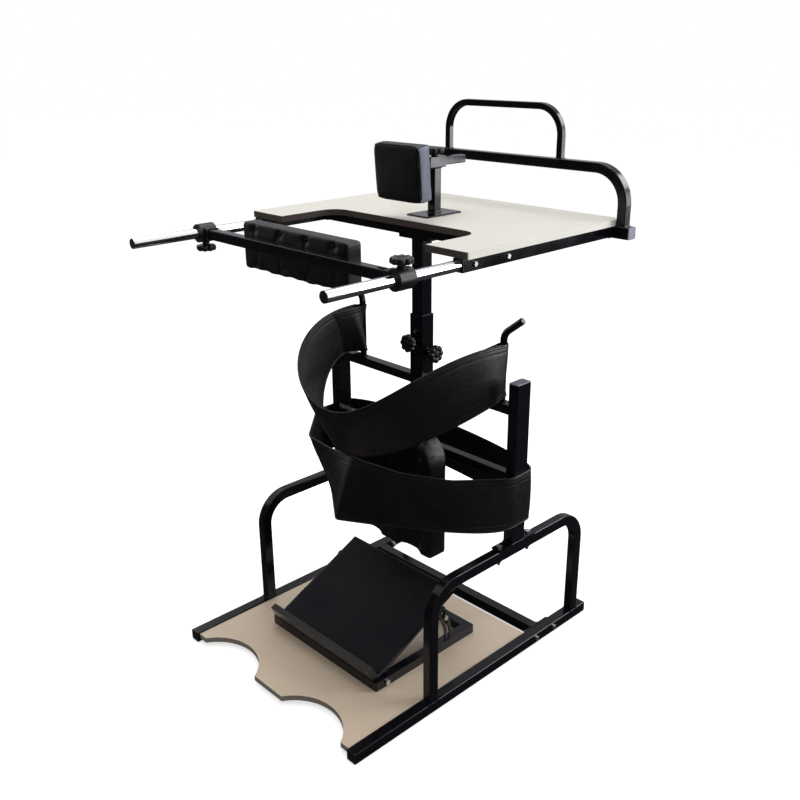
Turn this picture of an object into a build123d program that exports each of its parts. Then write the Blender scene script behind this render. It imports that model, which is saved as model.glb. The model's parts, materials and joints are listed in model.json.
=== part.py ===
"""Standing frame for stand-up rehabilitation.

A bolted steel base carries a standing board, an adjustable footplate, a knee support with its
strap and a hip sling.  A telescopic column carries the table, whose chrome tubes hold a sliding
back support.  A chest support and a handrail stand on the far side of the table.

Millimetres, +Z up.  The user stands at the -Y side and faces +Y.  The origin lies on the floor,
in the middle of the frame's outline seen from above.
"""
import os
from math import cos, radians, sin

from build123d import *

os.makedirs("parts", exist_ok=True)

# ---- stock and clearances ---------------------------------------------------------------
rail_size = 30          # square tube of the base rails and of the table frame
bar_size = 25           # square tube of crossbars, handrail, footplate frame and back bar
tube_wall = 2
tube_corner = 2.5       # outer corner radius of every square tube
plate_corner = 8        # corner radius of the welded plates
cap_flange = 2          # thickness of the plastic end caps outside their tubes
cap_depth = 12
fit_gap = 0.2           # sliding or push fit between flat faces, each side
rest_gap = 0.3          # between a soft piece or a stud and what it rests on
sides = {"right": 1, "left": -1}

# ---- bolts and knobs --------------------------------------------------------------------
bolt_r = 4
bolt_hole_r = 4.5
bolt_head = 13          # across the flats, the nuts too
bolt_head_h = 5.3
nut_h = 6.5
nut_tail = 2            # thread that stands out of a nut
small_bolt_r = 3
small_bolt_head = 10
small_bolt_head_h = 4
knob_r = 25
knob_h = 16
knob_lobes = 8
knob_neck_r = 9
knob_neck_h = 6
knob_stud_r = 4

# ---- base -------------------------------------------------------------------------------
rail_length = 900
base_half_width = 350   # outer faces of the base rails
base_mid_y = 24         # middle of the base rails
rail_x = base_half_width - rail_size / 2
base_rear_y = base_mid_y - rail_length / 2

hoop_width = 25         # across the hoop's plane
hoop_depth = 30         # in the hoop's plane
hoop_top_z = 362
hoop_rear_y = -164      # centre line of the leg on the user's side
hoop_front_y = 420
hoop_bend = 80          # centre line radius
hoop_x = base_half_width - hoop_width / 2

board_thickness = 15
board_bottom_z = 11
board_side_gap = 1
board_length = 652
board_overhang = 5      # how far the board's front edge stands back from the rail ends
notch_x = 173.5         # centre of each heel notch
notch_r = 134
notch_depth = 66
bearer_width = 40
bearer_inset = 120      # from the board's ends to the bearers' middles

cross_rail_y = 279
cross_flange_y = 289     # the flanges reach further forward than the rail's middle
cross_flange_length = 102
cross_flange_t = 4
cross_bolt_spacing = 78

# ---- posts and column -------------------------------------------------------------------
column_y = 144
post_depth = 50
post_width = 30
post_top_z = 802
foot_flange_length = 140
foot_flange_t = 5
foot_bolt_spacing = 116
foot_bolt_tail = 15
crossbar_depth = 30
crossbar_top_z = 739

column_size = 45
column_bottom_z = 600
column_top_z = 908
inner_size = 38
inner_bottom_z = 655
inner_top_z = 1112
bush_depth = 60
bush_rim = 3
boss_r = 9
boss_h = 6
column_bolt_z = 866
front_knob_z = 839
side_knob_z = 809
column_knob_reach = 44  # column axis to the near face of the knob's head

# ---- table ------------------------------------------------------------------------------
head_plate_t = 8
head_plate_half = 55
head_plate_rear_y = 112
head_plate_front_y = 204
table_rail_inset = 26   # board's side edge to the middle of the rail below it
table_rail_rear_y = -105
front_rail_rear_y = 435
cross_tube_rear_y = 127
cross_tube_front_y = 189
table_half = 382
table_thickness = 16
table_corner = 5
cutout_half = 257
cutout_front_y = 74
cutout_corner = 47
cutout_flare = 35
rail_bolt_y = (-70, 40)
rail_bolt_length = 10

tube_r = 12.5
round_wall = 1.5
tube_rear_y = -475
tube_front_y = 64
plug_t = 1
bush_bore_gap = 0.1

# ---- back support -----------------------------------------------------------------------
sleeve_y = -273
sleeve_r = 23
sleeve_length = 44
sleeve_gap = 0.2
socket_depth = 15
socket_wall = 3
back_knob_reach = 30    # tube's axis to the near face of the knob's head
back_pad_half = 190
back_pad_shift = -20     # the pad sits off the middle of its bar
back_pad_bottom_z = 1064
back_pad_height = 118
back_pad_t = 51
back_pad_round = 8

# ---- chest support ----------------------------------------------------------------------
chest_y = 189
chest_plate_width = 75
chest_plate_length = 127
chest_plate_t = 4
chest_post_size = 25
chest_bar_size = 20
chest_bar_z = 1297
chest_bar_rear_y = 100
chest_bar_front_y = 294
chest_sleeve_wall = 3.8
chest_sleeve_length = 56
chest_pad_width = 164
chest_pad_height = 142
chest_pad_t = 46
chest_pad_round = 7
chest_pad_z = 1284
chest_lean = 4.5        # degrees, top towards the user
chest_backing_width = 110
chest_backing_height = 90
chest_backing_t = 4
chest_knob_z = 1317

# ---- handrail ---------------------------------------------------------------------------
handrail_gap = 1        # board's side edge to the handrail's inner face
front_rail_overhang = 14  # handrail's outer face to the rail's end
handrail_y = 450.5
handrail_top_z = 1298
handrail_bend = 85      # centre line radius
hoop_rail_size = 17
hoop_rail_half = 203
hoop_rail_top_z = 1433
hoop_rail_bend = 71

# ---- sling hooks and hip sling ----------------------------------------------------------
hook_r = 9
hook_x = 262
hook_bottom_z = 700
hook_bend_rise = 25     # sling's loops to the corner of the hook's bend
hook_bend_r = 35
hook_tip_reach = 58     # from the upright part to the tip
hook_tip_rise = 45      # from the bend's corner to the tip
belt_t = 6
belt_spans = 9
loop_r = 15.5
loop_gap = 0.4
loop_top_z = 880
sling_top_mid = (0, -193, 730)      # middle of the sling's upper edge
sling_top_pull = (157, -193, 730)   # control points of the same edge towards the hook
sling_top_swing = (245, -128, 902)
sling_low_mid = (0, -132, 593)
sling_low_pull = (154, -132, 593)
sling_low_swing = (335, 60, 764)

# ---- knee support -----------------------------------------------------------------------
knee_crossbar_z = 530   # underside
knee_sleeve_length = 60
knee_bar_size = 20
knee_bar_front_y = 199
knee_backing_y = 79
knee_backing_t = 4
knee_backing_width = 160
knee_backing_height = 150
knee_pad_half = 165
knee_pad_round = 10
knee_pad_front_y = 8
knee_pad_bottom_z = 284
knee_pad_lobe_z = 547
knee_channel_x = 78
knee_channel_r = 75
knee_channel_depth = 20
knee_lobe_x = 82
knee_lobe_r = 83
knee_knob_drop = 10     # sleeve's underside to the knob's head

strap_user_y = -174             # middle of the strap on the user's side
strap_user_pull = (190, -66)    # control point from there towards the post
strap_user_turn = 80            # straight run before the post
strap_wrap = 60                 # straight run past the post
strap_far_turn = 34
strap_far_pull = 200
strap_far_y = 235
strap_user_heights = (419, 525)     # lower and upper edge at the user's side
strap_post_heights = (428, 576)     # at the posts
strap_far_heights = (465, 585)      # at the far side

# ---- footplate --------------------------------------------------------------------------
foot_frame_half = 216
foot_frame_rear_y = -238
foot_frame_front_y = 134
foot_hinge_y = -200
foot_tilt = 25          # degrees at rest
foot_side_gap = 11      # footplate's edge to the frame's outer face
foot_start = -10.5      # along the slope from the hinge axis
foot_end = 307
foot_under = 19         # hinge axis to the panel's underside, square to the slope
foot_panel_t = 7
foot_mat_t = 3.5
foot_mat_margin = 6
heel_stop_t = 17.5
heel_stop_h = 42        # above the panel
ear_t = 5
ear_r = 9
ear_gap = 1
ear_length = 40
slot_radius = 239
quadrant_width = 26
quadrant_t = 4
quadrant_gap = 0.5
slot_width = 8.8
lock_angle = 21         # polar angle of the lock bolt at rest
tilt_down = 15
tilt_up = 5
rib_x = 120
rib_t = 6
rib_h = 14

# ---- places worked out from the sizes ---------------------------------------------------
board_top_z = board_bottom_z + board_thickness
board_rear_y = base_rear_y + board_overhang
board_half = base_half_width - rail_size - board_side_gap
post_foot_z = hoop_top_z + foot_flange_t
inner_face = inner_size / 2
column_half = column_size / 2
head_top_z = inner_top_z + head_plate_t
table_bottom_z = head_top_z + rail_size
table_top_z = table_bottom_z + table_thickness
rail_mid_z = head_top_z + rail_size / 2
table_rail_x = table_half - table_rail_inset
table_rail_outer = table_rail_x + rail_size / 2
table_rail_inner = table_rail_x - rail_size / 2
front_rail_y = front_rail_rear_y + rail_size / 2
table_front_y = front_rail_rear_y + rail_size
handrail_half = table_half + handrail_gap + bar_size
front_rail_half = handrail_half + front_rail_overhang
crossbar_front_y = column_y + crossbar_depth / 2
hook_y = crossbar_front_y + hook_r + rest_gap
knee_bar_z = knee_crossbar_z - knee_bar_size / 2 - 4
foot_hinge_z = board_top_z + bar_size / 2
foot_bar_x = foot_frame_half - bar_size / 2
foot_half = foot_frame_half - foot_side_gap
ear_outer_x = foot_frame_half - bar_size - ear_gap


# ---- shared shapes ----------------------------------------------------------------------
def along_x(x, y, z):
    return Plane(origin=(x, y, z), x_dir=(0, 1, 0), z_dir=(1, 0, 0))


def along_y(x, y, z):
    return Plane(origin=(x, y, z), x_dir=(1, 0, 0), z_dir=(0, 1, 0))


def upward(x, y, z):
    return Plane(origin=(x, y, z))


def write(piece, name):
    piece.label = name
    export_step(piece, f"parts/{name}.step")


def square_tube(start, length, width, depth, wall=tube_wall):
    """Square or rectangular tube that leaves its start plane along the plane's normal."""
    with BuildPart() as tube:
        with BuildSketch(start):
            RectangleRounded(width, depth, tube_corner)
            Rectangle(width - 2 * wall, depth - 2 * wall, mode=Mode.SUBTRACT)
        extrude(amount=length)
    return tube.part


def bent_tube(corners, bend, start, width, depth, wall=tube_wall):
    """Square tube swept along straight runs joined by bends; its hollow ends are open."""
    with BuildPart() as tube:
        with BuildLine():
            FilletPolyline(*corners, radius=bend)
        with BuildSketch(start):
            RectangleRounded(width, depth, tube_corner)
            Rectangle(width - 2 * wall, depth - 2 * wall, mode=Mode.SUBTRACT)
        sweep()
    return tube.part


def end_cap(start, size, flange=cap_flange):
    """Plastic tube cap: a square flange outside the start plane and a plug inside it."""
    plug = size - 2 * tube_wall - 2 * fit_gap
    with BuildPart() as cap:
        with BuildSketch(start):
            RectangleRounded(size, size, tube_corner)
        extrude(amount=flange)
        with BuildSketch(start):
            Rectangle(plug, plug)
        extrude(amount=-cap_depth)
    return cap.part


def drilled(part, *holes):
    """The part with straight holes: each hole is its start plane, radius and depth."""
    with BuildPart() as bored:
        add(part)
        for start, radius, depth in holes:
            with BuildSketch(start):
                Circle(radius)
            extrude(amount=depth, mode=Mode.SUBTRACT)
    return bored.part


def hex_bolt(seat, length, radius=bolt_r, head=bolt_head, head_h=bolt_head_h):
    """Bolt whose head sits on the seat plane, on the side that the plane's normal points to."""
    with BuildPart() as bolt:
        with BuildSketch(seat):
            RegularPolygon(head / 2, 6, major_radius=False)
        extrude(amount=head_h)
        with BuildSketch(seat):
            Circle(radius)
        extrude(amount=-length)
    return bolt.part


def hex_nut(seat):
    """Nut that sits against the seat plane, on the side that the plane's normal points to."""
    with BuildPart() as nut:
        with BuildSketch(seat):
            RegularPolygon(bolt_head / 2, 6, major_radius=False)
            Circle(bolt_r + bush_bore_gap, mode=Mode.SUBTRACT)
        extrude(amount=nut_h)
    return nut.part


def star_knob(tip, stud_length):
    """Lobed hand knob with its stud; the stud's tip lies on the tip plane."""
    with BuildPart() as knob:
        with BuildSketch(tip):
            Circle(knob_stud_r)
        extrude(amount=stud_length)
        with BuildSketch(tip.offset(stud_length - knob_neck_h)):
            Circle(knob_neck_r)
        extrude(amount=knob_neck_h)
        with BuildSketch(tip.offset(stud_length)):
            Circle(knob_r * 0.8)
            with PolarLocations(knob_r * 0.74, knob_lobes):
                Circle(knob_r * 0.26)
        extrude(amount=knob_h)
        fillet(knob.faces().sort_by(Axis(tip.origin, tip.z_dir))[-1].edges(), 2)
    return knob.part


def group(*pieces):
    """Several separate solids kept together as one node."""
    return Compound(children=list(pieces))


def bezier(p0, p1, p2, p3, t):
    """Point of a cubic curve through p0 and p3 at t between 0 and 1."""
    s = 1 - t
    return Vector(*(s**3 * a + 3 * s * s * t * b + 3 * s * t * t * c + t**3 * d
                    for a, b, c, d in zip(p0, p1, p2, p3)))


def belt(top, bottom, end_normals=(None, None)):
    """Flat belt through matching points of its two edges, as one ruled solid."""
    last = len(top) - 1
    with BuildPart() as strip:
        for i, (upper, lower) in enumerate(zip(top, bottom)):
            travel = top[min(i + 1, last)] - top[max(i - 1, 0)]
            across = (upper - lower).cross(travel).normalized()
            if i == 0 and end_normals[0]:
                across = Vector(*end_normals[0])
            if i == last and end_normals[1]:
                across = Vector(*end_normals[1])
            height = (upper - lower).length
            normal = across.cross(upper - lower).normalized()
            with BuildSketch(Plane(origin=lower, x_dir=across, z_dir=normal)):
                Rectangle(belt_t, height, align=(Align.CENTER, Align.MIN))
        loft(ruled=True)
    return strip.part


# ---- base pieces ------------------------------------------------------------------------
def cross_bolt_planes(side):
    for step in (-0.5, 0.5):
        y = cross_flange_y + step * cross_bolt_spacing
        yield Plane(origin=(side * base_half_width, y, rail_size / 2),
                    x_dir=(0, 1, 0), z_dir=(side, 0, 0))


def base_rail(side):
    rail = square_tube(along_y(side * rail_x, base_rear_y, rail_size / 2),
                       rail_length, rail_size, rail_size)
    return drilled(rail, *((seat, bolt_hole_r, -rail_size) for seat in cross_bolt_planes(side)))


def rail_end_caps():
    caps = []
    for side in sides.values():
        rear = Plane(origin=(side * rail_x, base_rear_y, rail_size / 2),
                     x_dir=(1, 0, 0), z_dir=(0, -1, 0))
        caps += [end_cap(rear, rail_size),
                 end_cap(along_y(side * rail_x, base_rear_y + rail_length, rail_size / 2),
                         rail_size)]
    return group(*caps)


def foot_bolt_planes(side):
    for step in (-0.5, 0.5):
        yield upward(side * hoop_x, column_y + step * foot_bolt_spacing, post_foot_z)


def side_hoop(side):
    x = side * hoop_x
    top = hoop_top_z - hoop_depth / 2
    corners = [(x, hoop_rear_y, rail_size), (x, hoop_rear_y, top),
               (x, hoop_front_y, top), (x, hoop_front_y, rail_size)]
    hoop = bent_tube(corners, hoop_bend, upward(x, hoop_rear_y, rail_size),
                     hoop_width, hoop_depth)
    return drilled(hoop, *((seat, bolt_hole_r, -hoop_depth - foot_flange_t)
                           for seat in foot_bolt_planes(side)))


def standing_board():
    """Board between the rails, with a round notch behind each heel."""
    notch_y = board_rear_y + notch_depth - notch_r
    with BuildPart() as board:
        with BuildSketch(upward(0, board_rear_y, board_bottom_z)):
            Rectangle(2 * board_half, board_length, align=(Align.CENTER, Align.MIN))
        extrude(amount=board_thickness)
        with BuildSketch(upward(0, notch_y, board_bottom_z)):
            with Locations((-notch_x, 0), (notch_x, 0)):
                Circle(notch_r)
        extrude(amount=board_thickness, mode=Mode.SUBTRACT)
    return board.part


def board_bearers():
    """Two flat bars under the board, welded between the rails."""
    width = 2 * (base_half_width - rail_size)
    thickness = board_bottom_z - 3
    bars = []
    for y in (board_rear_y + bearer_inset, board_rear_y + board_length - bearer_inset):
        with BuildPart() as bar:
            with BuildSketch(upward(0, y, board_bottom_z)):
                Rectangle(width, bearer_width)
            extrude(amount=-thickness)
        bars.append(bar.part)
    return group(*bars)


def cross_rail():
    """Rail across the far side of the base with a bolting flange at each end."""
    flange_x = base_half_width - rail_size
    width = 2 * (flange_x - cross_flange_t)
    rail = square_tube(along_x(-width / 2, cross_rail_y, rail_size / 2),
                       width, rail_size, rail_size)
    with BuildPart() as welded:
        add(rail)
        for side in sides.values():
            face = Plane(origin=(side * flange_x, cross_flange_y, rail_size / 2),
                         x_dir=(0, 1, 0), z_dir=(-side, 0, 0))
            with BuildSketch(face):
                RectangleRounded(cross_flange_length, rail_size, plate_corner)
                with GridLocations(cross_bolt_spacing, 1, 2, 1):
                    Circle(bolt_hole_r, mode=Mode.SUBTRACT)
            extrude(amount=cross_flange_t)
    return welded.part


def frame_bolts():
    """Bolts and nuts of the cross rail's flanges and of the posts' feet."""
    pieces = []
    for side in sides.values():
        for seat in cross_bolt_planes(side):
            grip = rail_size + cross_flange_t
            pieces += [hex_bolt(seat, grip + nut_h + nut_tail), hex_nut(seat.offset(-grip - nut_h))]
        for seat in foot_bolt_planes(side):
            grip = foot_flange_t + hoop_depth
            pieces += [hex_bolt(seat, grip + foot_bolt_tail),
                       hex_nut(seat.offset(-grip - nut_h))]
    return group(*pieces)


# ---- posts, crossbars and column --------------------------------------------------------
def post(side):
    """Upright post with the flange that bolts down on the hoop."""
    upright = square_tube(upward(side * hoop_x, column_y, post_foot_z),
                          post_top_z - post_foot_z, post_width, post_depth)
    with BuildPart() as welded:
        add(upright)
        with BuildSketch(upward(side * hoop_x, column_y, hoop_top_z)):
            Rectangle(post_width, foot_flange_length)
            with GridLocations(1, foot_bolt_spacing, 1, 2):
                Circle(bolt_hole_r, mode=Mode.SUBTRACT)
        extrude(amount=foot_flange_t)
    return welded.part


def post_caps():
    caps = []
    for side in sides.values():
        with BuildPart() as cap:
            with BuildSketch(upward(side * hoop_x, column_y, post_top_z)):
                RectangleRounded(post_width, post_depth, tube_corner)
            extrude(amount=cap_flange)
            chamfer(cap.faces().sort_by(Axis.Z)[-1].edges(), 0.8)
            with BuildSketch(upward(side * hoop_x, column_y, post_top_z)):
                Rectangle(post_width - 2 * tube_wall - 2 * fit_gap,
                          post_depth - 2 * tube_wall - 2 * fit_gap)
            extrude(amount=-cap_depth)
        caps.append(cap.part)
    return group(*caps)


def upper_crossbar(side):
    """Half of the upper crossbar, from the column's side to its post."""
    length = hoop_x - post_width / 2 - column_half
    start = Plane(origin=(side * column_half, column_y, crossbar_top_z - bar_size / 2),
                  x_dir=(0, 1, 0), z_dir=(side, 0, 0))
    return square_tube(start, length, crossbar_depth, bar_size)


def knob_seats():
    """Outer faces of the column where the two clamp knobs are screwed in."""
    front = Plane(origin=(0, column_y - column_half, front_knob_z),
                  x_dir=(1, 0, 0), z_dir=(0, -1, 0))
    side = Plane(origin=(column_half, column_y, side_knob_z), x_dir=(0, 1, 0), z_dir=(1, 0, 0))
    return {"front": front, "side": side}


def column_bolt_seat():
    return Plane(origin=(0, column_y - column_half, column_bolt_z),
                 x_dir=(1, 0, 0), z_dir=(0, -1, 0))


def column_outer():
    tube = square_tube(upward(0, column_y, column_bottom_z), column_top_z - column_bottom_z,
                       column_size, column_size)
    with BuildPart() as column:
        add(tube)
        for seat in knob_seats().values():
            with BuildSketch(seat):
                Circle(boss_r)
            extrude(amount=boss_h)
            with BuildSketch(seat.offset(boss_h)):
                Circle(bolt_hole_r)
            extrude(amount=-boss_h - tube_wall, mode=Mode.SUBTRACT)
        with BuildSketch(column_bolt_seat()):
            Circle(small_bolt_r + fit_gap)
        extrude(amount=-tube_wall, mode=Mode.SUBTRACT)
    return column.part


def column_bush():
    """Plastic liner in the mouth of the outer column, with a rim on top."""
    outer = column_size - 2 * tube_wall - 2 * fit_gap
    bore = inner_size + 2 * fit_gap
    with BuildPart() as bush:
        with BuildSketch(upward(0, column_y, column_top_z - bush_depth)):
            Rectangle(outer, outer)
            Rectangle(bore, bore, mode=Mode.SUBTRACT)
        extrude(amount=bush_depth)
        with BuildSketch(upward(0, column_y, column_top_z)):
            RectangleRounded(column_size, column_size, tube_corner)
            Rectangle(bore, bore, mode=Mode.SUBTRACT)
        extrude(amount=bush_rim)
        with BuildSketch(column_bolt_seat()):
            Circle(small_bolt_r + fit_gap)
        extrude(amount=-column_half + bore / 2, mode=Mode.SUBTRACT)
    return bush.part


def column_bolt():
    reach = column_half - inner_face - rest_gap
    return hex_bolt(column_bolt_seat(), reach, small_bolt_r, small_bolt_head,
                    small_bolt_head_h)


def column_knob(name):
    seat = knob_seats()[name]
    tip = seat.offset(inner_face + rest_gap - column_half)
    return star_knob(tip, column_knob_reach - inner_face - rest_gap)


def column_inner():
    return square_tube(upward(0, column_y, inner_bottom_z), inner_top_z - inner_bottom_z,
                       inner_size, inner_size)


# ---- table pieces -----------------------------------------------------------------------
def column_head_plate():
    middle = (head_plate_rear_y + head_plate_front_y) / 2
    with BuildPart() as plate:
        with BuildSketch(upward(0, middle, inner_top_z)):
            RectangleRounded(2 * head_plate_half, head_plate_front_y - head_plate_rear_y, 6)
        extrude(amount=head_plate_t)
    return plate.part


def rail_bolt_planes(side):
    for y in rail_bolt_y:
        yield Plane(origin=(side * table_rail_outer, y, rail_mid_z),
                    x_dir=(0, 1, 0), z_dir=(side, 0, 0))


def table_side_rail(side):
    rail = square_tube(along_y(side * table_rail_x, table_rail_rear_y, rail_mid_z),
                       front_rail_rear_y - table_rail_rear_y, rail_size, rail_size)
    return drilled(rail, *((seat, small_bolt_r + fit_gap, -tube_wall)
                           for seat in rail_bolt_planes(side)))


def table_cross_tube(y):
    return square_tube(along_x(-table_rail_inner, y, rail_mid_z), 2 * table_rail_inner,
                       rail_size, rail_size)


def table_front_rail():
    return square_tube(along_x(-front_rail_half, front_rail_y, rail_mid_z),
                       2 * front_rail_half, rail_size, rail_size)


def front_rail_caps():
    return group(*(end_cap(Plane(origin=(side * front_rail_half, front_rail_y, rail_mid_z),
                                 x_dir=(0, 1, 0), z_dir=(side, 0, 0)), rail_size)
                   for side in sides.values()))


def table_rail_bolts():
    return group(*(hex_bolt(seat, rail_bolt_length, small_bolt_r, small_bolt_head,
                            small_bolt_head_h)
                   for side in sides.values() for seat in rail_bolt_planes(side)))


def table_rail_bushes():
    """Plastic bush in each side rail's mouth that holds the chrome tube."""
    bushes = []
    plug = rail_size - 2 * tube_wall - 2 * bush_bore_gap
    for side in sides.values():
        mouth = along_y(side * table_rail_x, table_rail_rear_y, rail_mid_z)
        with BuildPart() as bush:
            with BuildSketch(mouth):
                RectangleRounded(rail_size, rail_size, tube_corner)
            extrude(amount=-cap_flange)
            with BuildSketch(mouth):
                Rectangle(plug, plug)
            extrude(amount=cap_depth)
            with BuildSketch(mouth.offset(-cap_flange)):
                Circle(tube_r + bush_bore_gap)
            extrude(amount=cap_flange + cap_depth, mode=Mode.SUBTRACT)
        bushes.append(bush.part)
    return group(*bushes)


def table_board():
    """Table top with a body cut-out on the user's side."""
    length = table_front_y - table_rail_rear_y
    with BuildPart() as board:
        with BuildSketch(upward(0, table_rail_rear_y, table_bottom_z)) as outline:
            Rectangle(2 * table_half, length, align=(Align.CENTER, Align.MIN))
            fillet(outline.vertices(), table_corner)
            Rectangle(2 * cutout_half, cutout_front_y - table_rail_rear_y,
                      align=(Align.CENTER, Align.MIN), mode=Mode.SUBTRACT)
            cut = outline.vertices().filter_by(lambda v: abs(abs(v.X) - cutout_half) < 1)
            inner = cut.group_by(Axis.Y)[-1]
            mouth = cut.group_by(Axis.Y)[0]
            fillet(inner, cutout_corner)
            fillet(mouth, cutout_flare)
        extrude(amount=table_thickness)
    return board.part


def support_tube(side):
    """Chrome tube that the back support slides on."""
    with BuildPart() as tube:
        with BuildSketch(along_y(side * table_rail_x, tube_rear_y, rail_mid_z)):
            Circle(tube_r)
            Circle(tube_r - round_wall, mode=Mode.SUBTRACT)
        extrude(amount=tube_front_y - tube_rear_y)
    return drilled(tube.part, *((seat, small_bolt_r + fit_gap, -rail_size / 2)
                                for seat in rail_bolt_planes(side)))


def support_tube_plugs():
    plugs = []
    for side in sides.values():
        rear = Plane(origin=(side * table_rail_x, tube_rear_y, rail_mid_z),
                     x_dir=(1, 0, 0), z_dir=(0, -1, 0))
        with BuildPart() as plug:
            with BuildSketch(rear):
                Circle(tube_r)
            extrude(amount=plug_t)
            with BuildSketch(rear):
                Circle(tube_r - round_wall - fit_gap)
            extrude(amount=-cap_depth)
        plugs.append(plug.part)
    return group(*plugs)


# ---- back support -----------------------------------------------------------------------
def clamp_side(side):
    """Plane through the chrome tube's axis that faces the knob: up on the right, down on the left."""
    return Plane(origin=(side * table_rail_x, sleeve_y, rail_mid_z), x_dir=(1, 0, 0),
                 z_dir=(0, 0, side))


def back_sleeve(side):
    """Moulded sleeve on the chrome tube, with a socket for the bar and a boss for the knob."""
    x = side * table_rail_x
    rear_y = sleeve_y - sleeve_length / 2
    socket_x = side * (table_rail_x - sleeve_r + socket_depth)
    boss_reach = back_knob_reach - knob_neck_h - 2 * fit_gap
    with BuildPart() as sleeve:
        with BuildSketch(along_y(x, rear_y, rail_mid_z)):
            Circle(sleeve_r)
        extrude(amount=sleeve_length)
        with BuildSketch(Plane(origin=(socket_x, sleeve_y, rail_mid_z),
                               x_dir=(0, 1, 0), z_dir=(-side, 0, 0))):
            RectangleRounded(bar_size + 2 * socket_wall, bar_size + 2 * socket_wall, 4)
        extrude(amount=2 * socket_depth)
        with BuildSketch(clamp_side(side)):
            Circle(boss_r + 2)
        extrude(amount=boss_reach)
        with BuildSketch(along_y(x, rear_y, rail_mid_z)):
            Circle(tube_r + sleeve_gap)
        extrude(amount=sleeve_length, mode=Mode.SUBTRACT)
        with BuildSketch(Plane(origin=(socket_x - side * socket_depth, sleeve_y, rail_mid_z),
                               x_dir=(0, 1, 0), z_dir=(-side, 0, 0))):
            Rectangle(bar_size + 2 * fit_gap, bar_size + 2 * fit_gap)
        extrude(amount=socket_depth, mode=Mode.SUBTRACT)
        with BuildSketch(clamp_side(side)):
            Circle(bolt_hole_r)
        extrude(amount=boss_reach, mode=Mode.SUBTRACT)
    return sleeve.part


def back_bar():
    half = table_rail_x - sleeve_r
    return square_tube(along_x(-half, sleeve_y, rail_mid_z), 2 * half, bar_size, bar_size)


def back_pad():
    rear_y = sleeve_y + bar_size / 2 + rest_gap
    middle_z = back_pad_bottom_z + back_pad_height / 2
    with BuildPart() as pad:
        with BuildSketch(along_y(back_pad_shift, rear_y, middle_z)):
            RectangleRounded(2 * back_pad_half, back_pad_height, back_pad_round)
        extrude(amount=back_pad_t)
        fillet(pad.faces().sort_by(Axis.Y)[-1].edges(), back_pad_round)
    return pad.part


def back_knob(side):
    tip_reach = tube_r + rest_gap
    return star_knob(clamp_side(side).offset(tip_reach), back_knob_reach - tip_reach)


# ---- chest support ----------------------------------------------------------------------
def chest_base_plate():
    with BuildPart() as plate:
        with BuildSketch(upward(0, chest_y, table_top_z)):
            RectangleRounded(chest_plate_width, chest_plate_length, 3)
        extrude(amount=chest_plate_t)
        chamfer(plate.faces().sort_by(Axis.Z)[-1].edges(), 1)
    return plate.part


def chest_post():
    """Upright of the chest support with the sleeve on its top."""
    sleeve = chest_bar_size + 2 * fit_gap + 2 * chest_sleeve_wall
    foot_z = table_top_z + chest_plate_t
    upright = square_tube(upward(0, chest_y, foot_z), chest_bar_z - sleeve / 2 - foot_z,
                          chest_post_size, chest_post_size)
    with BuildPart() as welded:
        add(upright)
        with BuildSketch(along_y(0, chest_y - chest_sleeve_length / 2, chest_bar_z)):
            RectangleRounded(sleeve, sleeve, tube_corner)
        extrude(amount=chest_sleeve_length)
        with BuildSketch(along_y(0, chest_y - chest_sleeve_length / 2, chest_bar_z)):
            Rectangle(chest_bar_size + 2 * fit_gap, chest_bar_size + 2 * fit_gap)
        extrude(amount=chest_sleeve_length, mode=Mode.SUBTRACT)
        with BuildSketch(upward(0, chest_y, chest_bar_z)):
            Circle(bolt_hole_r)
        extrude(amount=sleeve / 2, mode=Mode.SUBTRACT)
    return welded.part


def chest_face():
    """Plane of the pad's back, leaning towards the user; its normal points at the user."""
    lean = radians(chest_lean)
    return Plane(origin=(0, chest_bar_rear_y, chest_pad_z), x_dir=(1, 0, 0),
                 z_dir=(0, -cos(lean), -sin(lean)))


def chest_bar():
    """Sliding bar with the backing plate of the pad on its end."""
    bar = square_tube(along_y(0, chest_bar_rear_y, chest_bar_z),
                      chest_bar_front_y - chest_bar_rear_y, chest_bar_size, chest_bar_size)
    with BuildPart() as welded:
        add(bar)
        with BuildSketch(chest_face()):
            RectangleRounded(chest_backing_width, chest_backing_height, plate_corner)
        extrude(amount=-chest_backing_t)
        split(bisect_by=chest_face(), keep=Keep.BOTTOM)
    return welded.part


def chest_pad():
    with BuildPart() as pad:
        with BuildSketch(chest_face().offset(rest_gap)):
            RectangleRounded(chest_pad_width, chest_pad_height, chest_pad_round)
        extrude(amount=chest_pad_t)
        fillet(pad.faces().sort_by(Axis.Y)[0].edges(), chest_pad_round - 2)
    return pad.part


def chest_knob():
    tip_z = chest_bar_z + chest_bar_size / 2 + rest_gap
    return star_knob(upward(0, chest_y, tip_z), chest_knob_z - tip_z)


# ---- handrail ---------------------------------------------------------------------------
def arch(half, foot_z, top_z, bend, size):
    """Square tube bent to an upside-down U in the handrail's plane."""
    x = half - size / 2
    z = top_z - size / 2
    corners = [(-x, handrail_y, foot_z), (-x, handrail_y, z),
               (x, handrail_y, z), (x, handrail_y, foot_z)]
    return bent_tube(corners, bend, upward(-x, handrail_y, foot_z), size, size)


# ---- sling ------------------------------------------------------------------------------
def sling_hook(side):
    """Round rod on the crossbar, bent outwards at its top."""
    x = side * hook_x
    bend_z = loop_top_z + hook_bend_rise
    with BuildPart() as hook:
        with BuildLine():
            FilletPolyline((x, hook_y, hook_bottom_z), (x, hook_y, bend_z),
                           (x + side * hook_tip_reach, hook_y, bend_z + hook_tip_rise),
                           radius=hook_bend_r)
        with BuildSketch(upward(x, hook_y, hook_bottom_z)):
            Circle(hook_r)
        sweep()
        ends = hook.faces().filter_by(GeomType.PLANE)
        fillet(ends.edges(), hook_r * 0.4)
    return hook.part


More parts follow.
